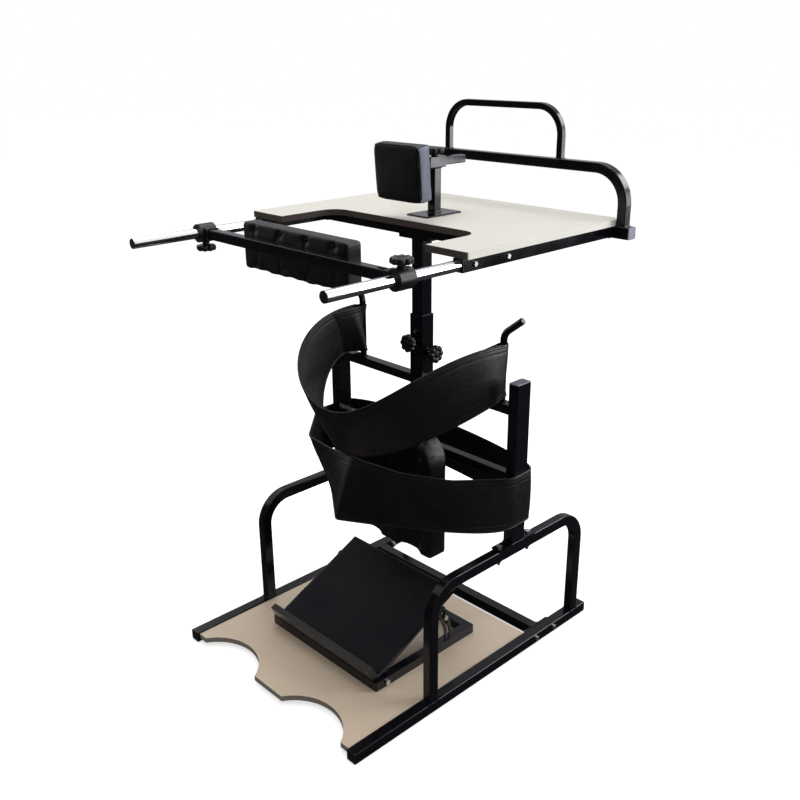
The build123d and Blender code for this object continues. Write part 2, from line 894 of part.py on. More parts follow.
def sling_edges():
    """Upper and lower edge of half the sling, from its middle to the hook's loop."""
    end_x, end_y = hook_x + loop_r - belt_t / 2, hook_y
    lower_end = crossbar_top_z + belt_t / 2
    upper = [sling_top_mid, sling_top_pull, sling_top_swing, (end_x, end_y, loop_top_z)]
    lower = [sling_low_mid, sling_low_pull, sling_low_swing, (end_x, end_y, lower_end)]
    steps = [i / belt_spans for i in range(belt_spans + 1)]
    return [[bezier(*edge, t) for t in steps] for edge in (upper, lower)]


def hip_sling():
    """Wide belt between the hooks, with a round loop at each end."""
    upper, lower = sling_edges()
    half = belt(upper, lower)
    loop_bottom = crossbar_top_z + rest_gap
    with BuildPart() as sling:
        add(half)
        with BuildSketch(upward(hook_x, hook_y, loop_bottom)):
            Circle(loop_r)
        extrude(amount=loop_top_z - loop_bottom)
        with BuildSketch(upward(hook_x, hook_y, loop_bottom)):
            Circle(hook_r + loop_gap)
        extrude(amount=loop_top_z - loop_bottom, mode=Mode.SUBTRACT)
        mirror(about=Plane.YZ)
    return sling.part


# ---- knee support -----------------------------------------------------------------------
def strap_edges():
    """Edges of half the knee strap, from its middle on the user's side round the post."""
    side_x = hoop_x + post_width / 2 + rest_gap + belt_t / 2
    post_rear_y = column_y - strap_wrap / 2
    post_front_y = column_y + strap_wrap / 2
    rear = [(0, strap_user_y), strap_user_pull, (side_x, post_rear_y - strap_user_turn),
            (side_x, post_rear_y)]
    front = [(side_x, post_front_y), (side_x, post_front_y + strap_far_turn),
             (strap_far_pull, strap_far_y), (0, strap_far_y)]
    heights = [strap_user_heights, strap_post_heights, strap_post_heights, strap_far_heights]
    upper, lower = [], []
    for edge, (first, second) in ((rear, heights[:2]), (front, heights[2:])):
        for i in range(belt_spans + 1):
            t = i / belt_spans
            p0, p1, p2, p3 = ((x, y, 0) for x, y in edge)
            place = bezier(p0, p1, p2, p3, t)
            low = first[0] + (second[0] - first[0]) * t
            high = first[1] + (second[1] - first[1]) * t
            lower.append(place + Vector(0, 0, low))
            upper.append(place + Vector(0, 0, high))
    return upper, lower


def knee_strap():
    """Closed belt round both posts."""
    upper, lower = strap_edges()
    half = belt(upper, lower, ((0, -1, 0), (0, 1, 0)))
    with BuildPart() as strap:
        add(half)
        mirror(about=Plane.YZ)
    return strap.part


def knee_crossbar():
    """Bar between the posts with the sleeve of the knee support under it."""
    half = hoop_x - post_width / 2
    bar = square_tube(along_x(-half, column_y, knee_crossbar_z + bar_size / 2), 2 * half,
                      bar_size, bar_size)
    sleeve_h = 2 * (knee_crossbar_z - knee_bar_z)
    start = along_y(0, column_y - knee_sleeve_length / 2, knee_bar_z)
    with BuildPart() as welded:
        add(bar)
        with BuildSketch(start):
            RectangleRounded(sleeve_h, sleeve_h, tube_corner)
        extrude(amount=knee_sleeve_length)
        with BuildSketch(start):
            Rectangle(knee_bar_size + 2 * fit_gap, knee_bar_size + 2 * fit_gap)
        extrude(amount=knee_sleeve_length, mode=Mode.SUBTRACT)
        with BuildSketch(upward(0, column_y, knee_bar_z)):
            Circle(bolt_hole_r)
        extrude(amount=-sleeve_h / 2, mode=Mode.SUBTRACT)
    return welded.part


def knee_bar():
    """Sliding bar with the steel backing of the knee pad on its end."""
    start = knee_backing_y + knee_backing_t
    bar = square_tube(along_y(0, start, knee_bar_z), knee_bar_front_y - start,
                      knee_bar_size, knee_bar_size)
    with BuildPart() as welded:
        add(bar)
        with BuildSketch(along_y(0, knee_backing_y, knee_bar_z)):
            RectangleRounded(knee_backing_width, knee_backing_height, plate_corner)
        extrude(amount=knee_backing_t)
    return welded.part


def knee_pad():
    """Padded board with two upright channels for the shins and a lobed top."""
    back_y = knee_backing_y - rest_gap
    channel_y = knee_pad_front_y + knee_channel_depth - knee_channel_r
    height = knee_pad_lobe_z + knee_lobe_r - knee_pad_bottom_z
    with BuildPart() as pad:
        with BuildSketch(upward(0, 0, knee_pad_bottom_z)):
            with Locations((0, (knee_pad_front_y + back_y) / 2)):
                RectangleRounded(2 * knee_pad_half, back_y - knee_pad_front_y,
                                 knee_pad_round)
            with Locations((-knee_channel_x, channel_y), (knee_channel_x, channel_y)):
                Circle(knee_channel_r, mode=Mode.SUBTRACT)
        extrude(amount=height)
        with BuildSketch(Plane(origin=(0, back_y, 0), x_dir=(1, 0, 0), z_dir=(0, -1, 0))):
            with Locations((0, (knee_pad_bottom_z + knee_pad_lobe_z) / 2)):
                Rectangle(2 * knee_pad_half, knee_pad_lobe_z - knee_pad_bottom_z)
            with Locations((-knee_lobe_x, knee_pad_lobe_z), (knee_lobe_x, knee_pad_lobe_z)):
                Circle(knee_lobe_r)
        extrude(amount=back_y - knee_pad_front_y, mode=Mode.INTERSECT)
    return pad.part


def knee_knob():
    tip_z = knee_bar_z - knee_bar_size / 2 - rest_gap
    sleeve_bottom = 2 * knee_bar_z - knee_crossbar_z
    tip = Plane(origin=(0, column_y, tip_z), x_dir=(1, 0, 0), z_dir=(0, 0, -1))
    return star_knob(tip, tip_z - sleeve_bottom + knee_knob_drop)


# ---- footplate --------------------------------------------------------------------------
def slope(x):
    """Plane across the footplate: x runs up the slope, y square to it, from the hinge axis."""
    tilt = radians(foot_tilt)
    return Plane(origin=(x, foot_hinge_y, foot_hinge_z), x_dir=(0, cos(tilt), sin(tilt)),
                 z_dir=(1, 0, 0))


def polar(radius, angle):
    """Offset from the hinge axis in the level plane across the footplate."""
    return radius * cos(radians(angle)), radius * sin(radians(angle))


def hinge_seat(side):
    return Plane(origin=(side * foot_frame_half, foot_hinge_y, foot_hinge_z),
                 x_dir=(0, 1, 0), z_dir=(side, 0, 0))


def footplate_base():
    """Welded tube frame on the standing board, with a slotted quadrant on each side."""
    length = foot_frame_front_y - foot_frame_rear_y
    middle = (foot_frame_front_y + foot_frame_rear_y) / 2
    width = 2 * foot_frame_half
    cavity = bar_size - 2 * tube_wall
    quadrants = [quadrant(side) for side in sides.values()]
    with BuildPart() as base:
        with BuildSketch(upward(0, middle, board_top_z)):
            RectangleRounded(width, length, tube_corner)
            Rectangle(width - 2 * bar_size, length - 2 * bar_size, mode=Mode.SUBTRACT)
        extrude(amount=bar_size)
        with BuildSketch(upward(0, middle, board_top_z + tube_wall)):
            Rectangle(width - 2 * tube_wall, length - 2 * tube_wall)
            Rectangle(width - 2 * tube_wall - 2 * cavity, length - 2 * tube_wall - 2 * cavity,
                      mode=Mode.SUBTRACT)
        extrude(amount=cavity, mode=Mode.SUBTRACT)
        for side in sides.values():
            with BuildSketch(hinge_seat(side)):
                Circle(bolt_hole_r)
            extrude(amount=-bar_size, mode=Mode.SUBTRACT)
        add(quadrants)
    return base.part


def quadrant(side):
    """Upright plate with a slot that follows the lock bolt round the hinge axis."""
    inner_x = foot_half + quadrant_gap
    start_x = inner_x if side > 0 else -inner_x - quadrant_t
    low = lock_angle - tilt_down - 1
    high = lock_angle + tilt_up + 1
    face = Plane(origin=(start_x, foot_hinge_y, foot_hinge_z), x_dir=(0, 1, 0),
                 z_dir=(1, 0, 0))
    with BuildPart() as plate:
        with BuildSketch(face):
            with BuildLine():
                outer_arc = CenterArc((0, 0), slot_radius, low - 3, high - low + 4)
            SlotArc(outer_arc, quadrant_width)
        extrude(amount=quadrant_t)
        with BuildSketch(face):
            with BuildLine():
                slot_arc = CenterArc((0, 0), slot_radius, low, high - low)
            SlotArc(slot_arc, slot_width)
        extrude(amount=quadrant_t, mode=Mode.SUBTRACT)
        split(bisect_by=upward(0, 0, board_top_z + bar_size), keep=Keep.TOP)
    return plate.part


def frame_top_when_raised():
    """Top of the footplate's frame as the raised plate sees it, with a little clearance."""
    turn = radians(tilt_up)
    height = bar_size / 2 + rest_gap
    return Plane(origin=(0, foot_hinge_y + height * sin(turn),
                         foot_hinge_z + height * cos(turn)),
                 x_dir=(1, 0, 0), z_dir=(0, sin(turn), cos(turn)))


def lock_seat(side):
    y, z = polar(slot_radius, lock_angle)
    outer_x = foot_half + quadrant_gap + quadrant_t
    return Plane(origin=(side * outer_x, foot_hinge_y + y, foot_hinge_z + z),
                 x_dir=(0, 1, 0), z_dir=(side, 0, 0))


def footplate():
    """Steel footplate with hinge ears, lock lugs, ribs and the stop behind the heels."""
    lug_s, lug_n = polar(slot_radius, lock_angle - foot_tilt)
    with BuildPart() as plate:
        with BuildSketch(slope(-foot_half)):
            with Locations((foot_start, foot_under)):
                Rectangle(foot_end - foot_start, foot_panel_t, align=(Align.MIN, Align.MIN))
            with Locations((foot_start, foot_under)):
                Rectangle(heel_stop_t, foot_panel_t + heel_stop_h,
                          align=(Align.MAX, Align.MIN))
        extrude(amount=2 * foot_half)
        fillet(plate.edges().filter_by(Axis.X).sort_by(Axis.Z)[-1], 3)
        split(bisect_by=frame_top_when_raised(), keep=Keep.TOP)
        for side in sides.values():
            ear_x = ear_outer_x - ear_t if side > 0 else -ear_outer_x
            with BuildSketch(slope(ear_x)):
                Circle(ear_r)
                with Locations((-ear_r / 2, 0)):
                    Rectangle(ear_length, foot_under, align=(Align.MIN, Align.MIN))
                Circle(bolt_r + rest_gap, mode=Mode.SUBTRACT)
            extrude(amount=ear_t)
            lug_x = foot_half - ear_t if side > 0 else -foot_half
            with BuildSketch(slope(lug_x)):
                with Locations((lug_s, lug_n)):
                    Circle(ear_r + 2)
                    Rectangle(2 * ear_r + 4, foot_under - lug_n, align=(Align.CENTER, Align.MIN))
                    Circle(bolt_r + fit_gap, mode=Mode.SUBTRACT)
            extrude(amount=ear_t)
            with BuildSketch(slope(side * rib_x - rib_t / 2)):
                with Locations((ear_length, foot_under)):
                    Rectangle(foot_end - 2 * ear_length, rib_h, align=(Align.MIN, Align.MAX))
            extrude(amount=rib_t)
    return plate.part


def footplate_mat():
    """Ribbed rubber mat on the footplate."""
    top = foot_under + foot_panel_t
    start = foot_start + foot_mat_margin
    with BuildPart() as mat:
        with BuildSketch(slope(foot_mat_margin - foot_half)):
            with Locations((start, top)):
                Rectangle(foot_end - foot_mat_margin - start, foot_mat_t,
                          align=(Align.MIN, Align.MIN))
        extrude(amount=2 * (foot_half - foot_mat_margin))
    return mat.part


def footplate_hinge_bolts():
    pieces = []
    for side in sides.values():
        seat = hinge_seat(side)
        grip = bar_size + ear_gap + ear_t
        pieces += [hex_bolt(seat, grip + nut_h + nut_tail), hex_nut(seat.offset(-grip - nut_h))]
    return group(*pieces)


def footplate_lock_bolts():
    pieces = []
    grip = quadrant_t + quadrant_gap + ear_t
    for side in sides.values():
        seat = lock_seat(side)
        pieces += [hex_bolt(seat.offset(fit_gap), grip + nut_h + nut_tail + fit_gap),
                   hex_nut(seat.offset(-grip - nut_h))]
    return group(*pieces)


# ---- all pieces -------------------------------------------------------------------------
for name, side in sides.items():
    write(base_rail(side), f"base_rail_{name}")
    write(side_hoop(side), f"side_hoop_{name}")
    write(post(side), f"post_{name}")
    write(upper_crossbar(side), f"upper_crossbar_{name}")
    write(sling_hook(side), f"sling_hook_{name}")
    write(table_side_rail(side), f"table_side_rail_{name}")
    write(support_tube(side), f"support_tube_{name}")
    write(back_sleeve(side), f"back_sleeve_{name}")
    write(back_knob(side), f"back_knob_{name}")

write(rail_end_caps(), "rail_end_caps")
write(standing_board(), "standing_board")
write(board_bearers(), "board_bearers")
write(cross_rail(), "cross_rail")
write(frame_bolts(), "frame_bolts")
write(post_caps(), "post_caps")
write(column_outer(), "column_outer")
write(column_bush(), "column_bush")
write(column_bolt(), "column_bolt")
write(column_knob("front"), "column_knob_front")
write(column_knob("side"), "column_knob_side")
write(column_inner(), "column_inner")
write(column_head_plate(), "column_head_plate")
write(table_cross_tube(cross_tube_rear_y), "table_cross_tube_rear")
write(table_cross_tube(cross_tube_front_y), "table_cross_tube_front")
write(table_front_rail(), "table_front_rail")
write(front_rail_caps(), "front_rail_caps")
write(table_rail_bolts(), "table_rail_bolts")
write(table_rail_bushes(), "table_rail_bushes")
write(table_board(), "table_board")
write(support_tube_plugs(), "support_tube_plugs")
write(back_bar(), "back_bar")
write(back_pad(), "back_pad")
write(chest_base_plate(), "chest_base_plate")
write(chest_post(), "chest_post")
write(chest_bar(), "chest_bar")
write(chest_pad(), "chest_pad")
write(chest_knob(), "chest_knob")
write(arch(handrail_half, table_bottom_z, handrail_top_z, handrail_bend, bar_size), "handrail")
write(arch(hoop_rail_half, handrail_top_z, hoop_rail_top_z, hoop_rail_bend, hoop_rail_size),
      "handrail_hoop")
write(hip_sling(), "hip_sling")
write(knee_strap(), "knee_strap")
write(knee_crossbar(), "knee_crossbar")
write(knee_bar(), "knee_bar")
write(knee_pad(), "knee_pad")
write(knee_knob(), "knee_knob")
write(footplate_base(), "footplate_base")
write(footplate(), "footplate")
write(footplate_mat(), "footplate_mat")
write(footplate_hinge_bolts(), "footplate_hinge_bolts")
write(footplate_lock_bolts(), "footplate_lock_bolts")
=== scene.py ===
"""Finishes a packed standing frame: paint, chrome, boards, upholstery, belts, knobs, mat and welds.

Every rigid part keeps its place and gets its finish. The padded, sewn and moulded parts are
built here as surfaces of their own and stand where their plain solids stand.
"""

import json
import math

import bmesh
import bpy
import numpy as np
from bpy.props import FloatProperty, FloatVectorProperty, IntProperty, PointerProperty
from mathutils import Matrix, Vector

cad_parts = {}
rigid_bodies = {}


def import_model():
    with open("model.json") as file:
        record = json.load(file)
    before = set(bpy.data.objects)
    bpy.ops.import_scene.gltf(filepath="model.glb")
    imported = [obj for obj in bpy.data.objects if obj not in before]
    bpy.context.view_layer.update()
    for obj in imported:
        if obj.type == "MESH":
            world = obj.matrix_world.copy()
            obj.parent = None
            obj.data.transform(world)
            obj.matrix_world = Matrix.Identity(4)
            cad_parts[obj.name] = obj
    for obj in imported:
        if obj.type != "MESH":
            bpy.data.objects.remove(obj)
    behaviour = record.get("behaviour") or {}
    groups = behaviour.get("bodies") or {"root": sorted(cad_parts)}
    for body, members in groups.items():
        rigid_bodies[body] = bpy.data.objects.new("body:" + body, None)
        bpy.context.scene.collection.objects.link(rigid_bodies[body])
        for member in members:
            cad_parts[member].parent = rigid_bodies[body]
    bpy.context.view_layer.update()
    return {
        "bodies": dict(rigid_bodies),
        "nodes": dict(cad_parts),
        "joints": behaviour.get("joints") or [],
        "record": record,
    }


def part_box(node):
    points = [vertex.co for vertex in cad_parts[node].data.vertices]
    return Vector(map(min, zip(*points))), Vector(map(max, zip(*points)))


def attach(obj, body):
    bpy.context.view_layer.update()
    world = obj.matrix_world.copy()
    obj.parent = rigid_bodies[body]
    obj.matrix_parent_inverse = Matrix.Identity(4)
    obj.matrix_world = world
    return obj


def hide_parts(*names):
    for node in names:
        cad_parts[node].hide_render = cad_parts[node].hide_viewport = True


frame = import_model()

bl_info = {
    "name": "Standing frame finisher",
    "version": (1, 0, 0),
    "blender": (4, 5, 0),
    "location": "View3D > Sidebar > Standing Frame",
    "description": "Builds the upholstery, belts, knobs, mat and finishes of a standing frame",
    "category": "Object",
}

MM = 0.001


# ---- settings a user would change --------------------------------------------------------
def number(name, description, default, low=0.0, **more):
    """A number that isn't under low."""
    return FloatProperty(name=name, description=description, default=default, min=low, **more)


def length(name, description, default):
    """A size in metres, shown with a length unit."""
    return number(name, description, default, unit="LENGTH", precision=4)


def watts(name, description, default):
    """A lamp's power in watts."""
    return number(name, description, default, unit="POWER")


def bearing(name, description, default):
    """An angle in radians, either way round."""
    return number(name, description, default, -math.pi, subtype="ANGLE")


def colour(name, description, default):
    """A linear colour without alpha."""
    return FloatVectorProperty(name=name, description=description, default=default,
                               subtype="COLOR", size=3, min=0.0, max=1.0)


class StandingFrameFinish(bpy.types.PropertyGroup):
    paint: colour("Paint", "Gloss enamel on the steel tubes", (0.0032, 0.0032, 0.0046))
    chrome: colour("Chrome", "Plated support tubes", (0.83, 0.84, 0.86))
    zinc: colour("Zinc", "Bolts, nuts and knob studs", (0.66, 0.65, 0.63))
    plastic: colour("Plastic", "Star knobs, sleeves and rail caps", (0.0060, 0.0060, 0.0075))
    cap: colour("Pale cap", "Caps of the posts and of the far table rail", (0.20, 0.20, 0.25))
    table: colour("Table board", "Melamine face of the table", (0.90, 0.87, 0.78))
    footboard: colour("Standing board", "Melamine face of the standing board", (0.84, 0.68, 0.515))
    # Painted shade: the table's edge band and underside get this dark tone for the shade they lie
    # in.
    table_edge_shade: colour("Table edge", "Edge band and underside of the table", (0.045, 0.032, 0.026))
    # Painted shade: the standing board's edges and underside get this darker tone for the shade
    # they lie in.
    board_edge_shade: colour("Board edge", "Edge band of the standing board", (0.17, 0.15, 0.12))
    leather: colour("Leather", "Synthetic leather of pads and belts", (0.0034, 0.0034, 0.0042))
    # Boxing: the end cloth's colour, lightened as a painted sheen from the light at the right.
    boxing: colour("Boxing", "Cloth at the ends of the chest rest", (0.17, 0.18, 0.235))
    thread: colour("Thread", "Stitching", (0.018, 0.018, 0.021))
    rubber: colour("Rubber", "Studded mat", (0.0055, 0.0050, 0.0075))


class StandingFrameSewing(bpy.types.PropertyGroup):
    voxel: length("Cushion mesh", "Edge length of the mesh that is blown up", 0.005)
    swell: length("Swell", "How far a cushion's cover may bulge from its tight shape", 0.009)
    tight: length("Tight", "How much smaller the cushions start than the space they fill", 0.003)
    belt_edge: length("Belt edge", "Half the thickness of a belt's flat sewn edge", 0.0019)
    belt_pad: length("Belt padding", "Half the thickness of a belt's padded middle", 0.0050)
    piping: length("Piping", "Radius of the cord in a belt's edge", 0.0026)
    seam: length("Seam inset", "From a belt's edge to its first row of stitches", 0.0085)
    seam_gap: length("Seam gap", "Between the two rows of stitches", 0.0085)
    stitch: length("Stitch", "Length of one stitch with its gap", 0.0056)
    thread: length("Thread", "Radius of the thread", 0.00055)
    wrap: length("Wrap", "From a hook's axis to the middle of the leather round it", 0.0125)
    tufts: IntProperty(name="Tufts", description="Pulled-in points in a row on the back rest",
                       default=4, min=1, max=12)


class StandingFrameDetail(bpy.types.PropertyGroup):
    knob_lobes: IntProperty(name="Knob lobes", description="Lobes of a star knob", default=8,
                            min=3, max=12)
    knob_scallop: number("Knob scallops", "Depth of the gaps between lobes", 0.20, max=0.5,
                         subtype="FACTOR")
    thread_pitch: length("Thread pitch", "Pitch of the knob studs", 0.00125)
    weld: length("Weld", "Radius of a weld bead", 0.0021)
    weld_ripple: length("Weld ripple", "Length of one ripple of a weld bead", 0.0034)
    stud_pitch: length("Mat stud pitch", "From one stud of the mat to the next", 0.011)
    stud_radius: length("Mat stud radius", "Radius of a stud of the mat", 0.0036)
    stud_height: length("Mat stud height", "Height of a stud of the mat", 0.0007)


class StandingFrameStage(bpy.types.PropertyGroup):
    lens: number("Lens", "Focal length on a 36 mm sensor", 41.55, 10.0, max=200.0,
                 unit="CAMERA")
    place: FloatVectorProperty(name="Camera place", description="Where the camera stands",
                               default=(1.6591, -1.5326, 1.5713), subtype="TRANSLATION")
    yaw: bearing("Yaw", "Turn of the camera about the vertical", 0.8053)
    pitch: bearing("Pitch", "How far the camera looks down", 0.3667)
    roll: bearing("Roll", "Turn of the camera about its own line of sight", -0.0076)
    sky: number("Sky", "Even light from all round", 0.42)
    top_lamp: watts("Top lamp", "Power of the soft light above", 92.0)
    side_lamp: watts("Side lamp", "Power of the soft light at the right", 80.0)
    window: watts("Window", "Power of the light that only gloss shows", 100.0)
    floor: length("Floor", "Width of the floor", 44.0)
    glow: number("Floor glow", "White added to the floor where it is seen", 0.64)
    dark_wall: length("Dark wall", "Height of the unlit wall behind the camera", 4.4)
    dark_glow: number("Dark glow", "Glow of the dark floor and of that wall in gloss", 0.03)
    rear_wall: number("Rear wall", "Glow of the dim wall at the far side", 0.55)


# ---- surfaces ----------------------------------------------------------------------------
def grid_faces(rows, columns, close_rows=False, close_columns=False):
    """Quads between neighbouring points of a rows x columns grid, wrapped round where closed."""
    r = np.arange(rows if close_rows else rows - 1)
    c = np.arange(columns if close_columns else columns - 1)
    r, c = np.meshgrid(r, c, indexing="ij")
    r2, c2 = (r + 1) % rows, (c + 1) % columns
    corners = [r * columns + c, r * columns + c2, r2 * columns + c2, r2 * columns + c]
    return np.stack(corners, axis=-1).reshape(-1, 4)


def circle(count):
    """Angles of count points an equal way apart on a circle."""
    return np.linspace(0, 2 * math.pi, count, endpoint=False)


def gathered(parts):
    """Points and faces of several surfaces as one pair of arrays."""
    offsets = np.cumsum([0] + [len(points) for points, _ in parts[:-1]])
    return (np.concatenate([points for points, _ in parts]),
            np.concatenate([faces + offset for (_, faces), offset in zip(parts, offsets)]))


def wound(x, y, z):
    """List of points from arrays of their parts, each spread over the whole grid."""
    return np.stack(np.broadcast_arrays(x, y, z), axis=-1).reshape(-1, 3)


def turned(radius, z, count):
    """Surface turned about Z: rows of radii and heights, which may also change on the way round."""
    angle = circle(count)
    return (wound(radius * np.cos(angle), radius * np.sin(angle), z),
            grid_faces(len(z), count, False, True))


def mesh_points(mesh, kind="co"):
    """Places of a mesh's vertices, or their normals, as an array."""
    flat = np.empty(len(mesh.vertices) * 3)
    mesh.vertices.foreach_get(kind, flat)
    return flat.reshape(-1, 3)


def moved(mesh, points):
    """The mesh with its vertices put at the points."""
    mesh.vertices.foreach_set("co", points.ravel())
    mesh.update()
    return mesh


def tidy_shell(mesh, turn=True):
    """Merges doubled points, then turns every face outwards."""
    shell = bmesh.new()
    shell.from_mesh(mesh)
    bmesh.ops.remove_doubles(shell, verts=shell.verts, dist=2e-6)
    if turn:
        bmesh.ops.recalc_face_normals(shell, faces=shell.faces)
    shell.to_mesh(mesh)
    shell.free()
    return mesh


def placed(name, data):
    """New object of the scene that shows the data."""
    thing = bpy.data.objects.new(name, data)
    bpy.context.scene.collection.objects.link(thing)
    return thing


def piece_of(name, mesh, body, finish, slot=None):
    """Object at the origin that shows the mesh, rides on the body and takes the finish. The slot is
    not used.
    """
    slot = slot or finish
    mesh.materials.clear()
    mesh.materials.append(FINISHES[finish])
    mesh.shade_smooth()
    piece = placed(name, mesh)
    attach(piece, body)
    return piece


def surface(name, points, faces, body, finish, slot=None):
    """Piece made from an array of points and an array of faces."""
    mesh = bpy.data.meshes.new(name)
    mesh.from_pydata(points.reshape(-1, 3).tolist(), [], faces.tolist())
    return piece_of(name, tidy_shell(mesh), body, finish, slot)


def unit(vectors):
    """Vectors of length one."""
    return vectors / np.maximum(np.linalg.norm(vectors, axis=-1, keepdims=True), 1e-12)


def step(edge0, edge1, x):
    """0 before edge0, 1 after edge1, and 3 s^2 - 2 s^3 between them."""
    s = np.clip((x - edge0) / (edge1 - edge0), 0, 1)
    return s * s * (3 - 2 * s)


def curve(corners, t):
    """Cubic curve (1-t)^3 p0 + 3 (1-t)^2 t p1 + 3 (1-t) t^2 p2 + t^3 p3 at each t."""
    t = t[:, None]
    p0, p1, p2, p3 = (np.asarray(corner, float) for corner in corners)
    return ((1 - t) ** 3 * p0 + 3 * (1 - t) ** 2 * t * p1
            + 3 * (1 - t) * t ** 2 * p2 + t ** 3 * p3)


def distances(path):
    """How far along the path each of its points is."""
    return np.concatenate([[0], np.cumsum(np.linalg.norm(np.diff(path, axis=0), axis=1))])


def even(path, count, closed=False):
    """The same path with its points an equal way apart."""
    if closed:
        path = np.vstack([path, path[:1]])
    run = distances(path)
    at = np.linspace(0, run[-1], count, endpoint=not closed)
    return np.stack([np.interp(at, run, path[:, k]) for k in range(3)], axis=-1)


def heading(path, closed=False):
    """Direction of the path at each of its points."""
    if closed:
        return unit(np.roll(path, -1, 0) - np.roll(path, 1, 0))
    return unit(np.gradient(path, axis=0))


def eased(path, passes, closed=False):
    """The path with each point drawn halfway to the middle of its neighbours, passes times."""
    for _ in range(passes):
        middle = (np.roll(path, 1, 0) + 2 * path + np.roll(path, -1, 0)) / 4
        if not closed:
            middle[0], middle[-1] = path[0], path[-1]
        path = middle
    return path


def swept(path, across, up, radius, sides=10, closed=False):
    """Round cord: circle of the given radius, in the plane of across and up, at each path point."""
    angle = circle(sides)
    radius = np.broadcast_to(radius, (len(path),))[:, None, None]
    ring = (np.cos(angle)[None, :, None] * across[:, None, :]
            + np.sin(angle)[None, :, None] * up[:, None, :])
    points = path[:, None, :] + radius * ring
    if not closed:
        points = np.concatenate([np.repeat(path[:1, None], sides, 1), points,
                                 np.repeat(path[-1:, None], sides, 1)])
    return points.reshape(-1, 3), grid_faces(len(points), sides, closed, True)


def stitches(middle, along, out, size, radius):
    """Row of stitches: at each middle an ellipsoid of half length size/2.6 along the seam, cut in
    five rings of five points."""
    count = 5
    tip = np.linspace(-1, 1, count)
    girth = radius * np.sqrt(np.maximum(1 - tip ** 2, 0))[:, None]
    x = np.repeat(tip[:, None] * size / 2.6, count, 1)
    parts = ((x, along), (girth * np.cos(circle(count)), np.cross(out, along)),
             (girth * np.sin(circle(count)), out))
    points = middle[:, None, None] + sum(amount[..., None] * axis[:, None, None]
                                         for amount, axis in parts)
    faces = grid_faces(count, count, False, True)
    offsets = np.arange(len(middle))[:, None, None] * count ** 2
    return points.reshape(-1, 3), (faces[None] + offsets).reshape(-1, 4)


# ---- materials ---------------------------------------------------------------------------
def added(tree, kind, inputs, output, **settings):
    """Output of a new shader node; each input is a plain value or a socket to link from."""
    node = tree.nodes.new("ShaderNode" + kind)
    for name, value in settings.items():
        setattr(node, name, value)
    for name, value in inputs.items():
        if isinstance(value, bpy.types.NodeSocket):
            tree.links.new(value, node.inputs[name])
        else:
            node.inputs[name].default_value = value
    return node.outputs[output]


class Recipe:
    """A node material on Object coordinates, built up step by step."""

    def __init__(self, name, base, roughness, metallic=0.0, specular=0.5):
        self.material = bpy.data.materials.new(name)
        self.material.use_nodes = True
        self.tree = self.material.node_tree
        self.place = self.tree.nodes.new("ShaderNodeTexCoord").outputs
        self.shader = self.tree.nodes["Principled BSDF"].inputs
        self.shader["Base Color"].default_value = (*base, 1)
        self.shader["Roughness"].default_value = roughness
        self.shader["Metallic"].default_value = metallic
        self.shader["Specular IOR Level"].default_value = specular
        self.relief = {}

    def stretched(self, scale):
        """Object coordinates with each axis scaled."""
        return added(self.tree, "Mapping", {"Vector": self.place["Object"], "Scale": scale},
                     "Vector")

    def noise(self, scale, detail=3.0, rough=0.55, vector=None):
        return added(self.tree, "TexNoise",
                     {"Vector": vector or self.place["Object"], "Scale": scale,
                      "Detail": detail, "Roughness": rough}, "Fac")

    def cells(self, scale, feature="F1"):
        return added(self.tree, "TexVoronoi", {"Vector": self.place["Object"], "Scale": scale},
                     "Distance", feature=feature)

    def spread(self, value, low, high, start=0.3, end=0.7):
        """The value between start and end carried over to between low and high."""
        return added(self.tree, "MapRange", {"Value": value, "From Min": start, "From Max": end,
                                             "To Min": low, "To Max": high}, "Result")

    def mixed(self, factor, *pair):
        """Colour between the two of a pair; each is a colour or a socket."""
        first, second = (value if isinstance(value, bpy.types.NodeSocket) else (*value, 1)
                         for value in pair)
        return added(self.tree, "Mix", {"Factor": factor, 6: first, 7: second}, 2,
                     data_type="RGBA")

    def toned(self, value, tone, factor, *between):
        """The tone, made lighter by the factor where the value is high."""
        return self.mixed(self.spread(value, 0, 1, *between), tone, lighter(tone, factor))

    def part(self, output, axis):
        """One axis of the coordinates or of the surface's own normal."""
        return added(self.tree, "SeparateXYZ", {"Vector": self.place[output]}, axis)

    def joined(self, operation, *values):
        """Result of a sum on one or two values."""
        return added(self.tree, "Math", dict(enumerate(values)), 0, operation=operation)

    def bump(self, height, strength, distance):
        """Relief; a later call lies on top of an earlier one."""
        inputs = {"Height": height, "Strength": strength, "Distance": distance, **self.relief}
        self.relief = {"Normal": added(self.tree, "Bump", inputs, "Normal")}

    def done(self, tint, roughness=None):
        """The material, with the tint, the relief and where given the roughness linked in."""
        sockets = {"Base Color": tint, **self.relief}
        if roughness is not None:
            sockets["Roughness"] = roughness
        for name, socket in sockets.items():
            self.tree.links.new(socket, self.shader[name])
        return self.material


def lighter(tone, factor):
    """The colour made lighter or darker, kept within 0 to 1."""
    return tuple(min(1.0, channel * factor) for channel in tone)


def painted_steel(tone):
    """Gloss enamel: faint orange peel, dust that dulls it in places."""
    recipe = Recipe("gloss_paint", tone, 0.14, specular=0.28)
    dust = recipe.noise(9, 4)
    haze = recipe.noise(70, 5, 0.65)
    recipe.bump(recipe.noise(420, 2), 0.05, 0.0004)
    recipe.bump(recipe.noise(45, 2), 0.04, 0.002)
    return recipe.done(recipe.toned(haze, tone, 1.7), recipe.spread(dust, 0.09, 0.22))


def plated_steel(tone):
    """Chrome: mirror with drawing marks along the tube and a few dull specks."""
    recipe = Recipe("bright_chrome", tone, 0.07, metallic=1.0)
    drawn = recipe.noise(1, 4, 0.6, recipe.stretched((900, 14, 900)))
    specks = recipe.noise(160, 4, 0.7)
    recipe.bump(drawn, 0.03, 0.0003)
    tint = recipe.toned(specks, tone, 0.86, 0.55, 0.8)
    return recipe.done(tint, recipe.spread(drawn, 0.05, 0.12))


